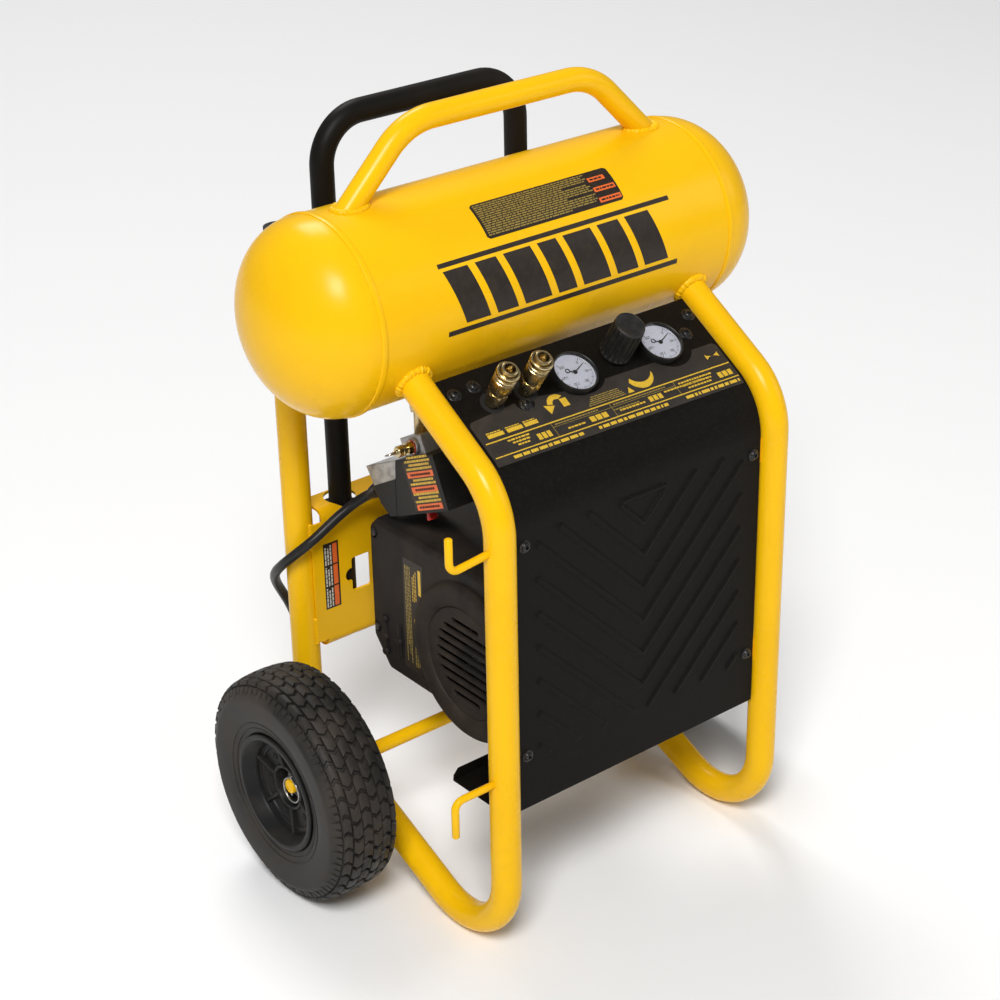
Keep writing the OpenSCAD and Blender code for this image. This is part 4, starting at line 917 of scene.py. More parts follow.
# a bent arrow, a crescent, a small triangle and a barrel shape
for figure in (arc(-0.056, 0.074, 0.012, 40, 168) + arc(-0.056, 0.074, 0.0062, 168, 60),
        [(-0.073, 0.077), (-0.061, 0.0735), (-0.07, 0.0655)], [(-0.052, 0.069), (-0.044, 0.069),
        (-0.044, 0.079), (-0.052, 0.079)], arc(0.05, 0.077, 0.017, 200, 352)
        + arc(0.0515, 0.084, 0.0165, -28, -150), [(0.0255, 0.06), (0.0335, 0.06), (0.0295, 0.067)],
        arc(0.147, 0.058, 0.0125, 48, 132) + arc(0.147, 0.083, 0.0125, 228, 312)):
    ink.prism(figure, 0.0002, INK, on_label)
printed(ink, "label_print", "panel_paint", "ink_yellow")
dim = Shape()
for k in range(5):
    row(dim, -0.026 + 0.002 * k, 0.022 - 0.001 * k, 0.06 + k * 0.0022, 0.061 + k * 0.0022, 60 + k, 0.006,
        0.0007)
bar(dim, -0.079, 0.081, 0.051, 0.0514, 3)
for x in (-0.079, -0.004, 0.081):
    bar(dim, x, x + 0.0005, 0.04, 0.056)
for k, (a, b, y) in enumerate(((-0.075, -0.02, 0.053), (0.000, 0.07, 0.053), (-0.004, 0.03, 0.047))):
    row(dim, a, b, y, y + 0.0012, 70 + k, 0.004, 0.0007)
printed(dim, "label_fine_print", "panel_paint", "ink_dim")

# tank: a band of slanted blocks between two stripes, and a plate of dashes
tank_ink = Shape()
BAND_LOW, BAND_HIGH = radians(60.6) * TANK_R, radians(91.6) * TANK_R


def band(x0, x1, y0, y1):
    patch(tank_ink, x0, x1, y0, y1, -0.0002, 0.0002, on_tank, 1, max(1, int((y1 - y0) / 0.003)))


band(-0.1495, 0.1495, radians(55.9) * TANK_R, radians(58.6) * TANK_R)
band(-0.15, 0.149, radians(93.9) * TANK_R, radians(96.9) * TANK_R)


def slant(x0, x1, lean, y0=BAND_LOW, y1=BAND_HIGH, steps=16):
    """Slanted block between two heights of the band."""
    rows = []
    for j in range(steps + 1):
        t = j / steps
        y = y0 + (y1 - y0) * t
        shift = lean * (t - 0.5)
        rows.append([Vector((x0 + shift, y, 0.0002)), Vector((x1 + shift, y, 0.0002)),
            Vector((x1 + shift, y, -0.0002)), Vector((x0 + shift, y, -0.0002))])
    tank_ink.rings(rows, True, (True, True), False, on_tank)


x = -0.137
for w in (0.03, 0.026, 0.034, 0.024, 0.036, 0.028, 0.032):
    slant(x, x + w, 0.018)
    x += w + 0.009
printed(tank_ink, "tank_band", "tank_paint", "ink_black")

plate = Shape()
NOTICE_TOP, NOTICE_END = radians(27.8) * TANK_R, radians(50.8) * TANK_R
rows = []
for j in range(17):
    t = j / 16
    trim = 0.003 * (1 - sqrt(max(0, 1 - (max(0, abs(t - 0.5) * 2 - 0.86) / 0.14) ** 2)))
    rows.append([Vector((-0.0815 + trim, NOTICE_TOP + (NOTICE_END - NOTICE_TOP) * t, 0.00024)),
        Vector((0.0955 - trim, NOTICE_TOP + (NOTICE_END - NOTICE_TOP) * t, 0.00024)),
        Vector((0.0955 - trim, NOTICE_TOP + (NOTICE_END - NOTICE_TOP) * t, -0.0002)),
        Vector((-0.0815 + trim, NOTICE_TOP + (NOTICE_END - NOTICE_TOP) * t, -0.0002))])
plate.rings(rows, True, (True, True), False, on_tank)
printed(plate, "tank_notice", "tank_paint", "ink_black")
notice, orange = Shape(), Shape()
TOP_INK = 0.00036
line_h = (NOTICE_END - NOTICE_TOP - 0.004) / 15
for k in range(15):
    y = NOTICE_TOP + 0.002 + k * line_h
    x_to = 0.064 - 0.003 * (k % 2) if k % 5 != 4 else 0.03
    words(notice, -0.0785, x_to, y, y + line_h * 0.52, TOP_INK, on_tank, 100 + k, 0.008, 0.001)
dashes = Shape()
for k, reach in enumerate((0.0285, 0.0275, 0.0215)):
    y = NOTICE_TOP + 0.002 + ((2 - k) * 5 + 2.4) * line_h
    patch(orange, 0.0655, 0.0655 + reach, y, y + line_h * 2.2, 0.0002, TOP_INK, on_tank, 1, 2)
    words(dashes, 0.068, 0.0655 + reach - 0.002, y + line_h * 0.7, y + line_h * 1.5, TOP_INK + 0.00012, on_tank,
        140 + k, 0.006, 0.001)
printed(dashes, "tank_notice_dashes", "tank_paint", "ink_and_painted_shade_black")
printed(notice, "tank_notice_print", "tank_paint", "ink_dim")
printed(orange, "tank_notice_orange", "tank_paint", "ink_orange")

# rear plate: an upright label of dashes with an orange column
REAR_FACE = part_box("rear_plate")[0].y


def on_rear(p):
    """The rear plate's front face: X across, Y is height, Z out of it."""
    return Vector((p.x, REAR_FACE - p.z, p.y))


rear_label, rear_print, rear_orange = Shape(), Shape(), Shape()
patch(rear_label, -0.166, -0.146, 0.266, 0.347, -0.0001, 0.00016, on_rear)
printed(rear_label, "rear_plate_label", "frame_paint", "ink_black")


def up_label(p):
    """Rows of the rear label run upwards."""
    return on_rear(Vector((-0.146 - p.y, p.x, p.z)))


for k in range(3):
    for low in (0.268, 0.2942, 0.3204):
        words(rear_print, low, low + 0.0235 - 0.003 * (k % 2), 0.0098 + 0.0034 * k, 0.0116 + 0.0034 * k, 0.0003,
            up_label, int(low * 1000) + k, 0.007, 0.0009)
        if k == 0:
            patch(rear_orange, low, low + 0.0242, 0.0022, 0.008, 0.0001, 0.0003, up_label)
printed(rear_print, "rear_plate_print", "frame_paint", "ink_cream")
printed(rear_orange, "rear_plate_orange", "frame_paint", "ink_orange")


# ---- couplers, gauges, regulator knob ----------------------------------------------------
def slope_turned(shape, x, s, profile, steps=48, closed=False):
    """Revolves a profile about a line that stands on the sloping panel."""
    shape.spun(profile, steps, closed, on_slope(x, s))


COUPLERS = [(-0.122, "sleeve_left"), (-0.08, "sleeve_right")]
COUPLER_S = 0.1005
GAUGE_XS, GAUGE_S = (-0.021, 0.0945), 0.098
STEM = [(0.0061, 0.0556), (0.0076, 0.056), (0.0083, 0.0557), (0.0083, 0.05), (0.009, 0.049), (0.009, 0.021),
    (0.0086, 0.016), (0.0078, 0.015), (0.0074, 0.002), (0.0064, -0.01), (0.0064, -0.023), (0.0034, -0.0235),
    (0.0034, 0.033), (0.0048, 0.0345), (0.0061, 0.0352)]
SLEEVE = [(0.0093, 0.024), (0.0104, 0.024), (0.011, 0.0246), (0.0114, 0.0262), (0.0116, 0.038),
    (0.0113, 0.0398), (0.0105, 0.0404), (0.0105, 0.0412), (0.0113, 0.0416), (0.0117, 0.0422), (0.0117, 0.0436),
    (0.0113, 0.0442), (0.0103, 0.0446), (0.0102, 0.0464), (0.011, 0.047), (0.0119, 0.0474), (0.0122, 0.048),
    (0.0122, 0.0506), (0.0118, 0.0514), (0.011, 0.0518), (0.0096, 0.0516), (0.0093, 0.051)]
SEAT = [(0.0048 * sin(pi * k / 14), 0.04 - 0.0048 * cos(pi * k / 14) + 0.0005) for k in range(15)]
stems = Shape()
for x, name in COUPLERS:
    slope_turned(stems, x, COUPLER_S, STEM, 48, True)
    stems.rings([hoop(r, h, 48, 0.0093) for r, h in ((0.0098, 0.01), (0.0108, 0.0107), (0.0108, 0.019),
        (0.0098, 0.0197))], place=on_slope(x, COUPLER_S))
    sleeve = Shape()
    slope_turned(sleeve, x, COUPLER_S, SLEEVE, 64, True)
    sleeve.made(name + "_ring", "brass", name + "_body", (name,), smooth=40)
    seat = Shape()
    slope_turned(seat, x, COUPLER_S, SEAT, 32)
    seat.made(name + "_seat", "brass", "frame", smooth=60)
stems.made("coupler_stems", "brass", "frame", ("coupler_bodies",), smooth=35)
# Flat near-black rings on the panel round the couplers and gauges: partly the dark of the holes, partly painted shade
# under the coupler bases and gauge cases.
hole_and_shade_rings = Shape()
for x, name in COUPLERS:
    slope_turned(hole_and_shade_rings, x, COUPLER_S, [(0.008, 0.0009), (0.0128, 0.0009), (0.0128, 0.0013), (0.008, 0.0013)],
        48, True)
for x in GAUGE_XS:
    slope_turned(hole_and_shade_rings, x, GAUGE_S, [(0.008, 0.0009), (0.0225, 0.0009), (0.0225, 0.0012), (0.008, 0.0012)],
        64, True)
hole_and_shade_rings.made("panel_holes_and_painted_shade", "panel_paint", material=MATS["ink_and_painted_shade_black"], smooth=35)

GAUGES = list(zip(GAUGE_XS, ("tank_needle", "outlet_needle"), ("needle_left", "needle_right")))
CASE = [(0.0045, -0.016), (0.0045, 0.0028), (0.0226, 0.0031), (0.0236, 0.0038), (0.0237, 0.007),
    (0.0242, 0.0076), (0.0245, 0.0083), (0.0245, 0.0114), (0.0242, 0.0122), (0.0236, 0.0125), (0.023, 0.0121),
    (0.0227, 0.0112), (0.0224, 0.0071), (0.003, 0.0069), (0.003, -0.016)]
DIAL = [(0.0009, 0.0071), (0.0223, 0.0071), (0.0223, 0.0084), (0.0219, 0.0085), (0.0009, 0.0085)]
LENS = [(0.00002, 0.0107), (0.0218, 0.0107), (0.0219, 0.0109), (0.0219, 0.0117), (0.017, 0.0121),
    (0.00002, 0.0122)]
HUB = [(0.0009, 0.0074), (0.0009, 0.0091), (0.0024, 0.0092), (0.0024, 0.0099), (0.0018, 0.0103),
    (0.00002, 0.0104)]
PRINT_LOW, PRINT_HIGH = 0.00848, 0.00856
NEEDLE_LOW, NEEDLE_HIGH = 0.0092, 0.0097
DIAL_START, DIAL_SWEEP = 225, 270
NEEDLE_TURN, TAIL_TURN = radians(-66), radians(128)


def dial_way(degrees):
    """Direction from the middle of a dial to that mark."""
    return Vector((-sin(radians(degrees)), -cos(radians(degrees)), 0))


def tick(shape, degrees, long, wide, place):
    """One mark on the rim of a dial."""
    out = dial_way(degrees)
    aside = Vector((-out.y, out.x, 0))
    flat = [out * 0.0203 + aside * wide, out * 0.0203 - aside * wide, out * (0.0203 - long) - aside * wide,
        out * (0.0203 - long) + aside * wide]
    shape.add([p + Vector((0, 0, h)) for h in (PRINT_LOW, PRINT_HIGH) for p in flat],
        [(3, 2, 1, 0), (4, 5, 6, 7), (0, 1, 5, 4), (1, 2, 6, 5), (2, 3, 7, 6), (3, 0, 4, 7)], place)


def numeral(shape, number, middle, place):
    """A number as a thin solid, centred on a point of the dial."""
    text = bpy.data.curves.new("number", "FONT")
    text.body, text.size, text.align_x, text.align_y = str(number), 0.0048, "CENTER", "CENTER"
    o = put("number", text)
    bpy.context.view_layer.update()
    flat = bpy.data.meshes.new_from_object(o.evaluated_get(bpy.context.evaluated_depsgraph_get()))
    points = [Vector((-v.co.x, -v.co.y, 0)) + middle + Vector((0, 0, h)) for h in (PRINT_LOW, PRINT_HIGH)
        for v in flat.vertices]
    count = len(flat.vertices)
    faces = [tuple(f.vertices)[::-1] for f in flat.polygons] + [tuple(i + count for i in f.vertices)
        for f in flat.polygons]
    loops = [list(f.vertices) for f in flat.polygons]
    used = dict.fromkeys((i, j) for loop in loops for i, j in zip(loop, loop[1:] + loop[:1]))
    faces += [(i, j, j + count, i + count) for (i, j) in used if (j, i) not in used]
    shape.add(points, faces, place)
    bpy.data.objects.remove(o)
    bpy.data.curves.remove(text)
    bpy.data.meshes.remove(flat)


cases, dials, lenses, ticks = Shape(), Shape(), Shape(), Shape()
for x, body, node in GAUGES:
    slope_turned(cases, x, GAUGE_S, CASE, 72, True)
    slope_turned(dials, x, GAUGE_S, DIAL, 72, True)
    slope_turned(lenses, x, GAUGE_S, LENS, 72)
    place = on_slope(x, GAUGE_S)
    for k in range(51):
        tick(ticks, DIAL_START + DIAL_SWEEP * k / 50, 0.0034 if k % 10 == 0 else 0.0025 if k % 5 == 0
            else 0.0016, 0.0003 if k % 5 == 0 else 0.00014, place)
    for k in range(6):
        numeral(ticks, k * 40, dial_way(DIAL_START + DIAL_SWEEP * k / 5) * 0.0142, place)

    def swing(p, place=place):
        return place(swung(p, NEEDLE_TURN))

    def back(p, place=place):
        return place(swung(p, NEEDLE_TURN + TAIL_TURN))

    needle = Shape()
    needle.prism([(-0.0007, 0.0), (0.0007, 0.0), (0.0004, 0.0155), (0.0, 0.0178), (-0.0004, 0.0155)],
        NEEDLE_LOW, NEEDLE_HIGH, swing)
    needle.spun(HUB, 32, False, swing)
    needle.prism([(-0.0005, 0.001), (0.0005, 0.001), (0.0005, 0.006), (-0.0005, 0.006)], NEEDLE_LOW,
        NEEDLE_HIGH, back)
    needle.tube([p + Vector((0, 0.0082, 0)) for p in hoop(0.0023, 0.00945, 24)], 0.0005, 8, around=True,
        place=back)
    needle.made(node + "_pointer", "needle_black", body, (node,), smooth=35)
cases.made("gauge_housings", "gauge_black", "frame", ("gauge_cases",), smooth=35)
dials.made("gauge_faces", "dial_white", "frame", ("gauge_dials",), smooth=35)
lenses.made("gauge_glasses", "gauge_lens", "frame", ("gauge_lenses",), smooth=35)
ticks.made("gauge_marks", "gauge_black", "frame", material=MATS["needle_black"], smooth=30)

knob = Shape()
KNOB = (0.042, 0.1075)
KNOB_RIBS, GROOVE = 18, 0.0017
rings = []
for r, h, deep in ((0.014, 0.0036, 0), (0.0166, 0.0036, 0), (0.017, 0.0042, 0), (0.017, 0.0062, 0),
        (0.017, 0.007, 0.4), (0.017, 0.0085, 1), (0.017, 0.018, 1), (0.0168, 0.03, 1), (0.0165, 0.042, 1),
        (0.0163, 0.0445, 0.7), (0.0162, 0.0455, 0), (0.016, 0.047, 0), (0.0152, 0.0478, 0), (0.0143, 0.048, 0),
        (0.0139, 0.0477, 0), (0.006, 0.0476, 0)):
    line = []
    for k in range(12 * KNOB_RIBS):
        a = TAU * k / (12 * KNOB_RIBS)
        q = r - GROOVE * deep * eased(0.5 - 1.1 * cos(a * KNOB_RIBS))
        line.append(Vector((q * cos(a), q * sin(a), h)))
    rings.append(line)
knob.rings(rings, True, (True, True), False, on_slope(*KNOB))
slope_turned(knob, *KNOB, [(0.0048, -0.0056), (0.0048, 0.004), (0.014, 0.0042), (0.014, 0.006)], 40)
knob.made("knob_ribbed", "knob_plastic", "regulator_knob_body", ("regulator_knob",), smooth=40)


# ---- pressure switch, valve block and strain relief ------------------------------------------
SWITCH = Vector((-0.114, FRONT_Y + 0.1878, 0.4642))
LEAN = radians(-24.5)


def at_switch(p):
    """X across, Y towards the cord, Z up through the valve block."""
    return SWITCH + Vector((p.x, p.y * cos(LEAN) - p.z * sin(LEAN), p.y * sin(LEAN) + p.z * cos(LEAN)))


HX, HY, HZ = 0.028, 0.046, 0.0295
BACK_TOP, BACK_LOW = 0.028, 0.058


def switch_side(p):
    """Outlines of the switch are drawn from its side: X towards the cord, Y up, Z across."""
    return at_switch(Vector((p.z, p.x, p.y)))


cover = Shape().prism([(-HY, -HZ), (BACK_LOW - 0.0034, -HZ), (BACK_TOP - 0.0034, HZ), (-HY, HZ)], -HX, HX,
    switch_side)
hollow = Shape().prism([(-HY + 0.0022, -HZ + 0.0022), (BACK_LOW + 0.004, -HZ + 0.0022),
    (BACK_TOP + 0.004, HZ - 0.0022), (-HY + 0.0022, HZ - 0.0022)], -HX + 0.0022, HX - 0.0022, switch_side)
LEVER_X, LEVER_Y = -0.014, 0.008
mouth = Shape().block((LEVER_X - 0.0115, LEVER_Y - 0.004, -HZ - 0.01),
    (LEVER_X + 0.0115, LEVER_Y + 0.004, -HZ + 0.01), at_switch)
cover.made("switch_hood", "switch_plastic", "frame", ("switch_cover",), bevel=0.0024, steps=3,
    modifiers=[cut_by(hollow, mouth)])
trim = Shape()
trim.block((-HX + 0.004, -HY - 0.0006, -HZ + 0.004), (HX - 0.004, -HY + 0.0005, -HZ + 0.008), at_switch)
trim.block((-HX + 0.004, -HY - 0.0006, HZ - 0.009), (HX - 0.004, -HY + 0.0005, HZ - 0.0075), at_switch)
trim.made("switch_trim", "switch_plastic", bevel=0.0003)
notes, stripes = Shape(), Shape()


def on_hood(p):
    """The hood's left face: X towards the back, Y up, Z out of it."""
    return at_switch(Vector((-HX - p.z, p.x, p.y)))


patch(notes, -0.04, 0.013, -0.0262, 0.0262, -0.0001, 0.00016, on_hood)
printed(notes, "switch_label", "switch_plastic", "ink_black")
lines, dashes = Shape(), Shape()
for k, y in enumerate((0.0085, -0.0075, -0.0262)):
    patch(stripes, -0.0385, 0.0095 - 0.0005 * k, y, y + 0.0064, 0.0001, 0.00028, on_hood)
    words(dashes, -0.033, 0.004, y + 0.002, y + 0.0044, 0.0004, on_hood, 230 + k, 0.0035, 0.0008)
    for j in range((4, 2, 3)[k]):
        words(lines, -0.0385 + 0.003 * (j % 2), 0.0085 - 0.006 * (j % 2), y + 0.0082 + j * 0.004,
            y + 0.0106 + j * 0.004, 0.00028, on_hood, 200 + k * 9 + j, 0.006, 0.0008)
printed(dashes, "switch_label_dashes", "switch_plastic", "ink_and_painted_shade_black")
printed(stripes, "switch_label_blocks", "switch_plastic", "ink_orange")
printed(lines, "switch_label_print", "switch_plastic", "ink_yellow")

LEVER_WIDER, LEVER_THICKER = 1.5, 1.15
lever = Shape()
rings = []
for h, w, t in ((-0.0045, 0.0046, 0.0026), (0.0, 0.005, 0.003), (0.0045, 0.004, 0.003), (0.01, 0.0031, 0.0029),
        (0.0165, 0.0034, 0.0029), (0.02, 0.0042, 0.003), (0.0215, 0.0042, 0.0028), (0.022, 0.0036, 0.0022)):
    rings.append([Vector((LEVER_X + x, LEVER_Y + y, -HZ + 0.012 - h)) for x,
        y in squared(LEVER_WIDER * w, LEVER_THICKER * t, 28, 0.5)])
lever.rings(rings, True, (True, True), False, at_switch)
lever.made("switch_lever_red", "red_plastic", "switch_lever_body", ("switch_lever",), smooth=45)

channel = Shape().prism([(BACK_LOW - 0.0033, -HZ), (BACK_LOW + 0.006, -HZ), (0.075, -0.014), (0.0835, 0.028),
    (BACK_TOP - 0.0033, HZ)], -HX, HX, switch_side)
inside = Shape().prism([(BACK_LOW, -0.045), (BACK_LOW + 0.005, -0.045), (0.073, -0.014), (0.081, 0.0257),
    (BACK_TOP + 0.0012, HZ - 0.0024), (BACK_LOW, -HZ)], -HX + 0.002, HX - 0.002, switch_side)
channel.made("switch_bracket", "zinc", "frame", ("switch_base",), bevel=0.0008, modifiers=[cut_by(inside)])
core = Shape()
core.block((-0.016, -0.004, -0.008), (0.016, 0.033, 0.018), at_switch)
core.block((-0.012, -0.004, 0.0179), (0.012, 0.02, HZ - 0.0024), at_switch)
core.made("switch_core", "zinc", bevel=0.0006)
skirt = Shape().prism([(0.052, -HZ + 0.0004), (BACK_LOW + 0.006, -HZ + 0.0002), (0.0748, -0.014),
    (0.079, 0.006), (0.034, 0.01)], -HX - 0.0006, -HX + 0.0012, switch_side)
skirt.made("switch_skirt", "switch_plastic", bevel=0.0005)

BLOCK_LOW = HZ + 0.0002
VALVE_Y = -0.004
block = Shape()
block.prism(flat_round([(-0.018, -0.016), (0.016, -0.016), (0.016, 0.022), (-0.018, 0.022)], 0.004), BLOCK_LOW,
    BLOCK_LOW + 0.02, at_switch)
block.spun([(0.005, 0.0), (0.0092, 0.0), (0.0092, 0.0032), (0.0086, 0.004), (0.005, 0.004)], 40, True,
    lambda p: at_switch(Vector((-0.018 - p.z, VALVE_Y + p.x, BLOCK_LOW + 0.01 + p.y))))
block.made("valve_block", "cast_alloy", "frame", ("manifold",), bevel=0.0009)


def at_valve(p):
    """The relief valve's own axis is Z, away from the block's left face."""
    return at_switch(Vector((-0.022 - p.z, VALVE_Y + p.x, BLOCK_LOW + 0.01 + p.y)))


valve = Shape()
valve.spun([(0.005, -0.008), (0.005, 0.0), (0.0072, 0.0), (0.0072, 0.001), (0.005, 0.001)], 40, False, at_valve)
valve.rings([hoop(r, h, 48, 0.0062) for r, h in ((0.0066, 0.001), (0.0072, 0.0016), (0.0072, 0.0064),
    (0.0066, 0.007))], place=at_valve)
valve.spun([(0.0024, 0.0066), (0.0046, 0.0068), (0.0046, 0.0098), (0.0056, 0.0104), (0.006, 0.0112),
    (0.006, 0.013), (0.0055, 0.0134), (0.0055, 0.0142), (0.006, 0.0146), (0.006, 0.018), (0.0054, 0.019),
    (0.0024, 0.019)], 40, True, at_valve)
valve.made("relief_valve", "brass", "frame", ("safety_valve",), smooth=35)
seal = Shape().spun([(0.0072, 0.0002), (0.008, 0.0003), (0.008, 0.0009), (0.0072, 0.001)], 40, True, at_valve)
seal.made("relief_seal", "red_plastic")
pull = Shape()
pull.spun([(0.00205, 0.0048), (0.00205, 0.023), (0.0017, 0.0246)], 24, False, at_valve)
pull.tube([(0.0046 * cos(TAU * k / 36), 0, 0.028 + 0.0046 * sin(TAU * k / 36)) for k in range(36)], 0.0009, 12,
    around=True, place=at_valve)
pull.made("relief_ring_pull", "bright_steel", "relief_stem", ("relief_ring",), smooth=50)

boot = Shape()
profile = [(0.005, 0.0), (0.0118, 0.0), (0.012, 0.0006), (0.012, 0.0062), (0.0114, 0.007), (0.0102, 0.0072),
    (0.01, 0.0125), (0.0094, 0.0132)]
for k in range(6):
    h = 0.014 + k * 0.0029
    r = 0.0094 - k * 0.00048
    profile += [(r - 0.0009, h - 0.0004), (r, h + 0.0002), (r - 0.0001, h + 0.0016), (r - 0.001, h + 0.002)]
profile += [(0.0063, 0.031), (0.005, 0.031)]
BOOT_AT, BOOT_DIP = Vector((-0.014, 0.07835, 0.0022)), atan(8.5 / 42)


def at_boot(p):
    """Z along the strain relief, away from the switch and down by its own dip."""
    c, s = cos(BOOT_DIP), sin(BOOT_DIP)
    return at_switch(BOOT_AT + Vector((p.x, p.z * c - p.y * s, -p.z * s - p.y * c)))


boot.spun(profile, 40, True, at_boot)
boot.made("cord_strain_relief", "cord_rubber", "frame", ("strain_relief",), smooth=40)


# ---- shroud and fan guard ---------------------------------------------------------------------
shroud_low, shroud_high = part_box("shroud_left")
SHROUD_X = shroud_low.x
SEAM = shroud_high.x
RIGHT_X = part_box("shroud_right")[1].x
PUMP = Vector((SHROUD_X, FRONT_Y + 0.095, 0.3))
corners = [(0.014, 0.244), (0.034, 0.226), (0.24, 0.226), (0.266, 0.258), (0.266, 0.392), (0.254, 0.404),
    (0.04, 0.404), (0.014, 0.378)]


def shroud_ring(x, inset, soft):
    """Outline of the shroud at x, pulled in by inset, with rounded corners."""
    middle_y, middle_z, half_y, half_z = 0.14, 0.315, 0.126, 0.089
    line = [(middle_y + (y - middle_y) * (1 - inset / half_y), middle_z + (z - middle_z) * (1 - inset / half_z),
        0) for y, z in corners]
    return [Vector((x, FRONT_Y + p.x, p.y)) for p in rounded(line, soft, 5, True)]


def shroud_half(name, node, x_closed, x_open, takes):
    """One half, hollow from its open side. takes are the shapes cut out of it."""
    rings = []
    toward = 1 if x_open > x_closed else -1
    for k in range(7):
        a = pi / 2 * k / 6
        rings.append(shroud_ring(x_closed + toward * 0.007 * (1 - sin(a)), 0.007 * (1 - cos(a)), 0.0065))
    rings = rings[::-1]
    for x, inset, soft in ((x_open - toward * 0.004, 0.0, 0.0065), (x_open - toward * 0.0036, 0.0008, 0.0065),
            (x_open, 0.0008, 0.0065), (x_open, 0.0034, 0.0055), (x_closed + toward * 0.004, 0.0034, 0.0055)):
        rings.append(shroud_ring(x, inset, soft))
    s = Shape().rings(rings, True, (True, True))
    return s.made(name, "shroud_plastic", "frame", (node,), bevel=0.0006, steps=2, smooth=32,
        modifiers=[cut_by(*takes)])


SCREWS = [(FRONT_Y + 0.256, 0.387), (FRONT_Y + 0.256, 0.272)]
takes = [drum(SHROUD_X, PUMP.y, PUMP.z, 0.0765, 0.03, (1, 0, 0))]
for y, z in SCREWS:
    takes.append(drum(SHROUD_X - 0.004, y, z, 0.0068, 0.012, (1, 0, 0)))
shroud_half("shroud_half_left", "shroud_left", SHROUD_X, SEAM, takes)
vents = [drum(0.005, TANK_Y, 0.404, 0.008, 0.03, (0, 0, 1))]
for k in range(7):
    z = 0.25 + k * 0.016
    vents.append(Shape().prism(flat_round([(PUMP.y - 0.045, z), (PUMP.y + 0.045, z),
        (PUMP.y + 0.045, z + 0.008), (PUMP.y - 0.045, z + 0.008)], 0.0038), RIGHT_X - 0.02, RIGHT_X + 0.01,
        across_x))
shroud_half("shroud_half_right", "shroud_right", RIGHT_X, SEAM + 0.0003, vents)

details = Shape()
for y, z0, z1 in ((FRONT_Y + 0.2415, 0.246, 0.29), (FRONT_Y + 0.2165, 0.25, 0.291)):
    line = rounded([(y - 0.0028, z0, 0), (y + 0.0028, z0, 0), (y + 0.0028, z1, 0), (y - 0.0028, z1, 0)], 0.0026,
        4, True)
    details.rings([[Vector((SHROUD_X + 0.0004 - h, y + (p.x - y) * k, (z0 + z1) / 2
        + (p.y - (z0 + z1) / 2) * k)) for p in line] for h, k in ((0.0, 1.06), (0.0014, 1.0), (0.0019, 0.9),
        (0.002, 0.7))])
for y, z in ((FRONT_Y + 0.2415, 0.2655), (FRONT_Y + 0.2165, 0.27), (FRONT_Y + 0.2415, 0.288),
        (FRONT_Y + 0.2415, 0.248)):
    details.turned([(0.0046, -0.001), (0.0046, 0.0022), (0.0038, 0.0032), (0.00002, 0.0035)], (SHROUD_X, y, z),
        (-1, 0, 0), 28)
details.made("shroud_bosses", "shroud_plastic", smooth=40)
heads = Shape()
for y, z in SCREWS:
    heads.rings([[Vector((SHROUD_X + 0.0016 - p.z, y + p.x, z + p.y)) for p in hoop(r, h, 32)] for r,
        h in ((0.0046, 0.0), (0.0046, 0.001), (0.0042, 0.0022), (0.003, 0.0028), (0.002, 0.0029))])
heads.made("shroud_screw_heads", "zinc", "frame", ("shroud_screws",), material=MATS["black_screw"], smooth=40)


def on_shroud(p):
    """The shroud's left face: X towards the back, Y up, Z out of it."""
    return Vector((SHROUD_X - p.z, FRONT_Y + p.x, p.y))


tag = Shape()
tag.prism([(0.176, 0.2455), (0.208, 0.2445), (0.205, 0.378), (0.1715, 0.379)], -0.0001, 0.00022, on_shroud)
printed(tag, "shroud_tag", "shroud_plastic", "ink_black")
print_lines, print_dim = Shape(), Shape()


def on_tag(p):
    """Print on the tag runs down it."""
    return on_shroud(Vector((p.y, 0.376 - p.x, p.z)))


patch(print_lines, 0.004, 0.034, 0.1752, 0.1798, 0.00016, 0.00032, on_tag)
words(print_lines, 0.036, 0.07, 0.1752, 0.1764, 0.00032, on_tag, 301, 0.006, 0.0008)
for k in range(3):
    words(print_lines, 0.008 + 0.004 * k, 0.045, 0.1835 + 0.0028 * k, 0.1848 + 0.0028 * k, 0.00032, on_tag,
        310 + k, 0.005, 0.0009)
patch(print_lines, 0.066, 0.092, 0.1825, 0.1838, 0.00016, 0.00032, on_tag)
patch(print_lines, 0.066, 0.074, 0.1825, 0.1885, 0.00016, 0.00032, on_tag)
for k in range(4):
    words(print_dim, 0.006, 0.122 - 0.01 * (k % 3), 0.1935 + 0.0026 * k, 0.1948 + 0.0026 * k, 0.00032, on_tag,
        320 + k, 0.006, 0.0009)
for k in range(4):
    words(print_dim, 0.1, 0.124, 0.178 + 0.003 * k, 0.1795 + 0.003 * k, 0.00032, on_tag, 330 + k, 0.005, 0.0009)
printed(print_lines, "shroud_tag_print", "shroud_plastic", "ink_yellow")
printed(print_dim, "shroud_tag_fine", "shroud_plastic", "ink_dim")

guard = Shape()
GUARD_R, DISH_R = 0.088, 0.062
guard.turned([(GUARD_R, -0.0002), (GUARD_R, 0.0028), (GUARD_R - 0.001, 0.005), (GUARD_R - 0.003, 0.007),
    (GUARD_R - 0.0062, 0.0084), (GUARD_R - 0.0105, 0.009), (GUARD_R - 0.015, 0.009), (DISH_R + 0.006, 0.0088),
    (DISH_R + 0.003, 0.0082), (DISH_R + 0.0008, 0.0072), (DISH_R, 0.0056), (DISH_R - 0.001, 0.004),
    (DISH_R - 0.001, -0.0002)], PUMP, (-1, 0, 0), 128, True)
guard.made("fan_guard_ring", "shroud_plastic", "frame", ("fan_grille",), smooth=30)


def at_pump(p):
    """X towards the back, Y up, Z out of the shroud's left face, from the pump's axis."""
    return Vector((PUMP.x - p.z, PUMP.y + p.x, PUMP.z + p.y))


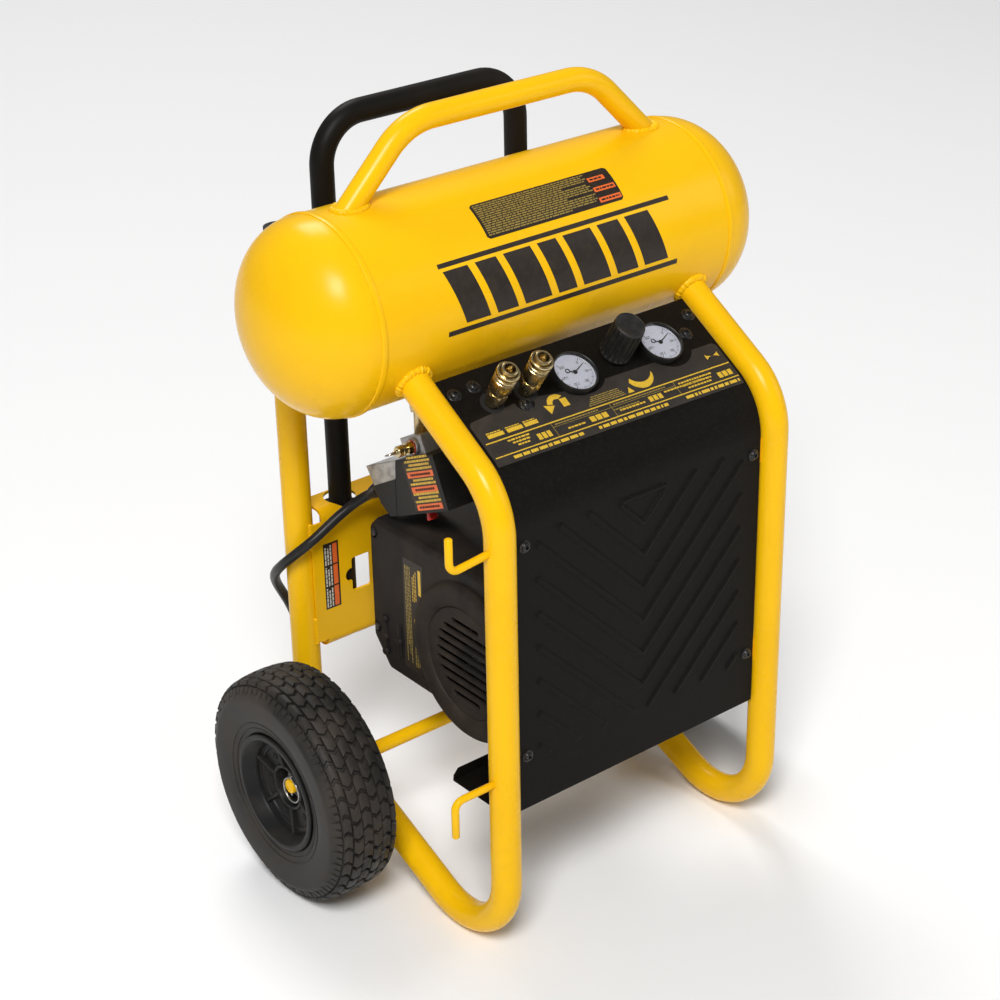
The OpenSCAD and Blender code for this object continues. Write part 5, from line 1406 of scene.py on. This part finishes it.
face = Shape()
face.prism([(p.x, p.y) for p in hoop(DISH_R - 0.0004, 0, 96)], 0.002, 0.0058, at_pump)
slots = []
SLOT_PITCH, SLOTS_R = 0.0108, 0.0485
for k in range(-4, 5):
    z = k * SLOT_PITCH
    reach = sqrt(max(0, SLOTS_R ** 2 - z * z))
    bar = flat_round([(-reach, z - 0.0029), (reach, z - 0.0029), (reach, z + 0.0029), (-reach, z + 0.0029)],
        0.0028, 5)
    slots.append(Shape().prism(bar, -0.004, 0.012, at_pump))
face.made("fan_guard_face", "shroud_plastic", "frame", bevel=0.0009, steps=3, smooth=30,
    modifiers=[cut_by(*slots)])


# ---- wheels ----------------------------------------------------------------------------
WHEEL_X = mid("tyre_right").x
TYRE_R = (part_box("tyre_right")[1].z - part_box("tyre_right")[0].z) / 2
AROUND = 40
TREAD_DEEP = 0.004

outer = [(0.0, 0.0), (0.006, 0.0001), (0.012, 0.0004), (0.018, 0.001), (0.0225, 0.0018)]
outer = [(x, TYRE_R - d) for x, d in outer]
CORNER = (0.0225, TYRE_R - 0.0018 - 0.0225)
for k in range(1, 10):
    a = radians(85 - 85 * k / 9)
    outer.append((CORNER[0] + 0.0185 * cos(a), CORNER[1] + 0.0226 * sin(a)))
outer += [(0.0409, 0.101), (0.0405, 0.095), (0.0398, 0.089), (0.0386, 0.083), (0.0372, 0.077), (0.036, 0.0725),
    (0.0352, 0.07)]
lengths = [0.0]
for a, b in zip(outer, outer[1:]):
    lengths.append(lengths[-1] + hypot(b[0] - a[0], b[1] - a[1]))


def tread_at(u, deep):
    """(x, r) at a distance u round the section from the crown, that far under the surface."""
    side, u = (1, u) if u >= 0 else (-1, -u)
    i = 0
    while i < len(lengths) - 2 and lengths[i + 1] < u:
        i += 1
    t = (u - lengths[i]) / (lengths[i + 1] - lengths[i])
    x = outer[i][0] + (outer[i + 1][0] - outer[i][0]) * t
    r = outer[i][1] + (outer[i + 1][1] - outer[i][1]) * t

    def normal(j):
        a, b = outer[max(j - 1, 0)], outer[min(j + 1, len(outer) - 1)]
        if j == 0:
            return (0.0, 1.0)
        n = (-(b[1] - a[1]), b[0] - a[0])
        d = hypot(*n)
        return (n[0] / d, n[1] / d)
    p, q = normal(i), normal(i + 1)
    return side * (x - (p[0] + (q[0] - p[0]) * t) * deep), r - (p[1] + (q[1] - p[1]) * t) * deep


def depth_of_carcass(u):
    """How far the carcass lies under the tread surface."""
    u = abs(u)
    return TREAD_DEEP * (1 - eased((u - 0.04) / 0.012))


def tyre(sign, name, node, body):
    centre = Vector((sign * WHEEL_X, AXLE.y, AXLE.z))

    def polar(x, r, a):
        return centre + Vector((sign * x, -r * cos(a), r * sin(a)))

    section = []
    total = lengths[-1]
    for k in range(-34, 35):
        u = total * k / 34
        ridge_up = 0.0009 * max(0, 1 - abs(abs(u) - 0.052) / 0.0016)
        x, r = tread_at(u, depth_of_carcass(u) - ridge_up)
        section.append((x, r))
    section += [(0.0352, 0.069), (0.0344, 0.0676), (0.033, 0.0672), (0.031, 0.066), (0.03, 0.0622),
        (-0.03, 0.0622), (-0.031, 0.066), (-0.033, 0.0672), (-0.0344, 0.0676), (-0.0352, 0.069)]
    s = Shape()
    rings = []
    for i in range(160):
        a = TAU * i / 160
        rings.append([polar(x, r, a) for x, r in section])
    s.rings(rings, True, (False, False), True)
    pitch = TAU / AROUND
    columns = [(-0.03, 0.0098, 1), (-0.018, 0.0112, 0), (-0.006, 0.0112, 1), (0.006, 0.0112, 0),
        (0.018, 0.0112, 1), (0.03, 0.0098, 0)]
    for c, (u0, wide, offset) in enumerate(columns):
        point = 0.0038 * (1 if c % 2 else -1)
        for k in range(AROUND):
            a0 = (k + offset * 0.5) * pitch
            half_w, half_l = wide / 2, 0.0079
            rows = []
            for deep, shrink in ((depth_of_carcass(u0) + 0.001, -0.0006), (0.0009, 0.0), (0.0002, 0.0004),
                    (0.0, 0.001)):
                w, l = half_w - shrink, half_l - shrink
                ring = []
                for u, v in ((-w, -l - point * 0.5), (0, -l + point * 0.5), (w, -l - point * 0.5),
                        (w, l - point * 0.5), (0, l + point * 0.5), (-w, l - point * 0.5)):
                    x, r = tread_at(u0 + u, deep)
                    ring.append(polar(x, r, a0 + v / TYRE_R))
                rows.append(ring)
            faces = [(j * 6 + i, j * 6 + (i + 1) % 6, j * 6 + 6 + (i + 1) % 6, j * 6 + 6 + i) for j in range(3)
                for i in range(6)]
            faces += [(18, 19, 22, 23), (19, 20, 21, 22), (5, 4, 1, 0), (4, 3, 2, 1)]
            s.add([p for row in rows for p in row], faces)
    for end in (-1, 1):
        for k in range(AROUND):
            for offset, u1, u2 in ((0.0, 0.0372, 0.05), (0.5, 0.0372, 0.0445)):
                a0 = (k + offset) * pitch
                rows = []
                for deep_share, shrink in ((1.0, -0.0004), (0.0, 0.0), (0.0, 0.0008)):
                    ring = []
                    for u, v in ((u1, -1), (u2, -0.8), (u2, 0.8), (u1, 1)):
                        near = u1 + shrink if u == u1 else u2 - shrink
                        high = depth_of_carcass(near) * (0.62 if u == u1 else 0.25)
                        deep = depth_of_carcass(near) + 0.0012 if deep_share else depth_of_carcass(near) - high
                        x, r = tread_at(end * near, deep)
                        ring.append(polar(x, r, a0 + v * (0.0038 - shrink) / TYRE_R))
                    rows.append(ring)
                faces = [(j * 4 + i, j * 4 + (i + 1) % 4, j * 4 + 4 + (i + 1) % 4, j * 4 + 4 + i)
                    for j in range(2) for i in range(4)]
                faces += [(8, 9, 10, 11), (3, 2, 1, 0)]
                s.add([p for row in rows for p in row], faces)
    for end in (-1, 1):
        for r0, high in ((0.08, 0.0006), (0.0735, 0.0005)):
            x0 = 0.0378 if r0 == 0.08 else 0.0362
            line = [polar(end * x0, r0, TAU * k / 120) for k in range(120)]
            s.tube(line, 0.001, 8, around=True)
    s.made(name, "tyre_rubber", body, (node,), smooth=32)


RIM = [(0.062, -0.034), (0.0652, -0.0346), (0.0668, -0.0356), (0.067, -0.0372), (0.066, -0.0383),
    (0.064, -0.0384), (0.058, -0.038), (0.057, -0.037), (0.057, 0.008), (0.055, 0.0115), (0.052, 0.012),
    (0.026, 0.012), (0.0255, -0.0056), (0.019, -0.006), (0.019, -0.037), (0.0184, -0.0376), (0.0086, -0.0376),
    (0.008, -0.037), (0.008, 0.0074), (0.0086, 0.008), (0.0184, 0.008), (0.019, 0.0074), (0.019, 0.0004),
    (0.02, 0.0), (0.0212, 0.0), (0.022, 0.0008), (0.022, 0.02), (0.0226, 0.0209), (0.0238, 0.0212),
    (0.0254, 0.0209), (0.026, 0.02), (0.0262, 0.0186), (0.0275, 0.018), (0.044, 0.018), (0.0455, 0.0186),
    (0.0462, 0.02), (0.0475, 0.0206), (0.051, 0.0206), (0.0518, 0.0214), (0.052, 0.0248), (0.0524, 0.0262),
    (0.0532, 0.0272), (0.06, 0.037), (0.061, 0.038), (0.0625, 0.0384), (0.0645, 0.0384), (0.0662, 0.038),
    (0.067, 0.037), (0.0668, 0.0356), (0.0652, 0.0346), (0.062, 0.034)]
RIB = ((0.024, 0.0219, 0.003), (0.0262, 0.0224, 0.0027), (0.033, 0.0231, 0.0024), (0.043, 0.0242, 0.0024),
    (0.05, 0.0252, 0.0026), (0.053, 0.0257, 0.003))
BOSS = [(0.0038, -0.001), (0.0038, 0.0006), (0.0032, 0.0011), (0.0022, 0.0011), (0.0018, 0.0004),
    (0.00002, 0.0003)]
FILLER = [(0.0042, 0.0), (0.0042, 0.002), (0.0034, 0.0032), (0.0031, 0.01), (0.004, 0.0104), (0.004, 0.016),
    (0.0034, 0.017), (0.00002, 0.0172)]
RIB_COUNT, RIB_START = 6, radians(12)


def rim(sign, name, node, body):
    """Rim in half section, radial ribs with a boss between each pair, and the right wheel's air filler."""
    def place(p):
        """Local Z points away from the frame."""
        return Vector((sign * (WHEEL_X + p.z), AXLE.y + p.y, AXLE.z + p.x))

    def placed_at(offset):
        return lambda p: place(p + offset)

    Shape().spun(RIM, 128, True, place).made(name, "rim_plastic", body, (node,), smooth=38)
    ribs_shape = Shape()
    for k in range(RIB_COUNT):
        a = RIB_START + TAU * k / RIB_COUNT
        rows = []
        for x, top, w in RIB:
            rows.append([Vector((x, side * share * w, top - drop)) for side, share,
                drop in ((-1, 1, top - 0.015), (-1, 0.92, 0.001), (-1, 0.62, 0.0002), (0, 0, 0),
                (1, 0.62, 0.0002), (1, 0.92, 0.001), (1, 1, top - 0.015))])
        ribs_shape.rings(rows, place=lambda p, a=a: place(swung(p, a)))
        between = Vector((0.036, 0, 0.0178))
        ribs_shape.spun(BOSS, 24, False, placed_at(swung(between, a + pi / RIB_COUNT)))
    ribs_shape.made(name + "_ribs", "rim_plastic", body, smooth=40)
    if sign > 0:
        filler_at = swung(Vector((0.05, 0, 0.0195)), RIB_START + pi / RIB_COUNT)
        Shape().spun(FILLER, 24, False, placed_at(filler_at)).made(name + "_stem", "tyre_rubber", body,
            smooth=40)


for sign, word in ((-1, "left"), (1, "right")):
    tyre(sign, f"tyre_{word}_tread", f"tyre_{word}", f"wheel_{word}")
    rim(sign, f"rim_{word}_moulded", f"rim_{word}", f"wheel_{word}")


# ---- CAD pieces that keep their shape: finish, welded seams and soft edges ----------------------
SLOT_OF = {part["node"]: part["material_slot"] for part in frame["record"]["subparts"]}
SOFT_EDGE = {"outlet_manifold": 0.0015, "crankcase": 0.0015, "cylinder_head": 0.001, "tank_saddles": 0.0008,
    "axle_brackets": 0.0008, "panel_tabs": 0.0006, "handle_guides": 0.0015, "tube_plugs": 0.0012,
    "drain_lever": 0.001}
for node_name, o in NODES.items():
    if o.hide_render:
        continue
    slot_name = SLOT_OF[node_name]
    o.data.materials.clear()
    o.data.materials.append(MATS[slot_name])
    weld = o.modifiers.new("weld", "WELD")
    weld.merge_threshold = 0.00001
    soft = o.modifiers.new("edges", "BEVEL")
    soft.width, soft.segments = SOFT_EDGE.get(node_name, 0.0004), 2
    soft.limit_method, soft.angle_limit = "ANGLE", radians(40)
    soft.harden_normals = True
    o.data.polygons.foreach_set("use_smooth", [True] * len(o.data.polygons))

# ---- floor, lights -------------------------------------------------------------------------------
plane = bpy.data.meshes.new("floor")
plane.from_pydata([(-6, -6, -0.0005), (6, -6, -0.0005), (6, 6, -0.0005), (-6, 6, -0.0005)], [], [(0, 1, 2, 3)])
floor = put("floor", plane)
floor.data.materials.append(surface("floor_white", (0.93, 0.93, 0.93), 0.6, tint=(0.915, 0.915, 0.915),
    tint_scale=0.8, grain=0.02, specular=0.2))


def lamp(name, at, toward, size, watts):
    """Square area light."""
    light = bpy.data.lights.new(name, "AREA")
    light.shape, light.size, light.energy = "SQUARE", size, watts
    o = put(name, light)
    o.location = at
    o.rotation_euler = (Vector(toward) - Vector(at)).to_track_quat("-Z", "Y").to_euler()


lamp("key", (-3.2, -3.4, 5.4), (0, 0, 0.35), 2.2, 420)
lamp("fill", (4.0, -3.0, 2.6), (0, 0, 0.4), 2.4, 30)
lamp("back", (1.6, 4.6, 6.4), (0, 0.6, 0.3), 3.0, 230)
world = bpy.data.worlds.new("studio")
bpy.context.scene.world = world
world.use_nodes = True
sky = world.node_tree.nodes["Background"]
sky.inputs["Color"].default_value = (1, 1, 1, 1)
sky.inputs["Strength"].default_value = 0.22
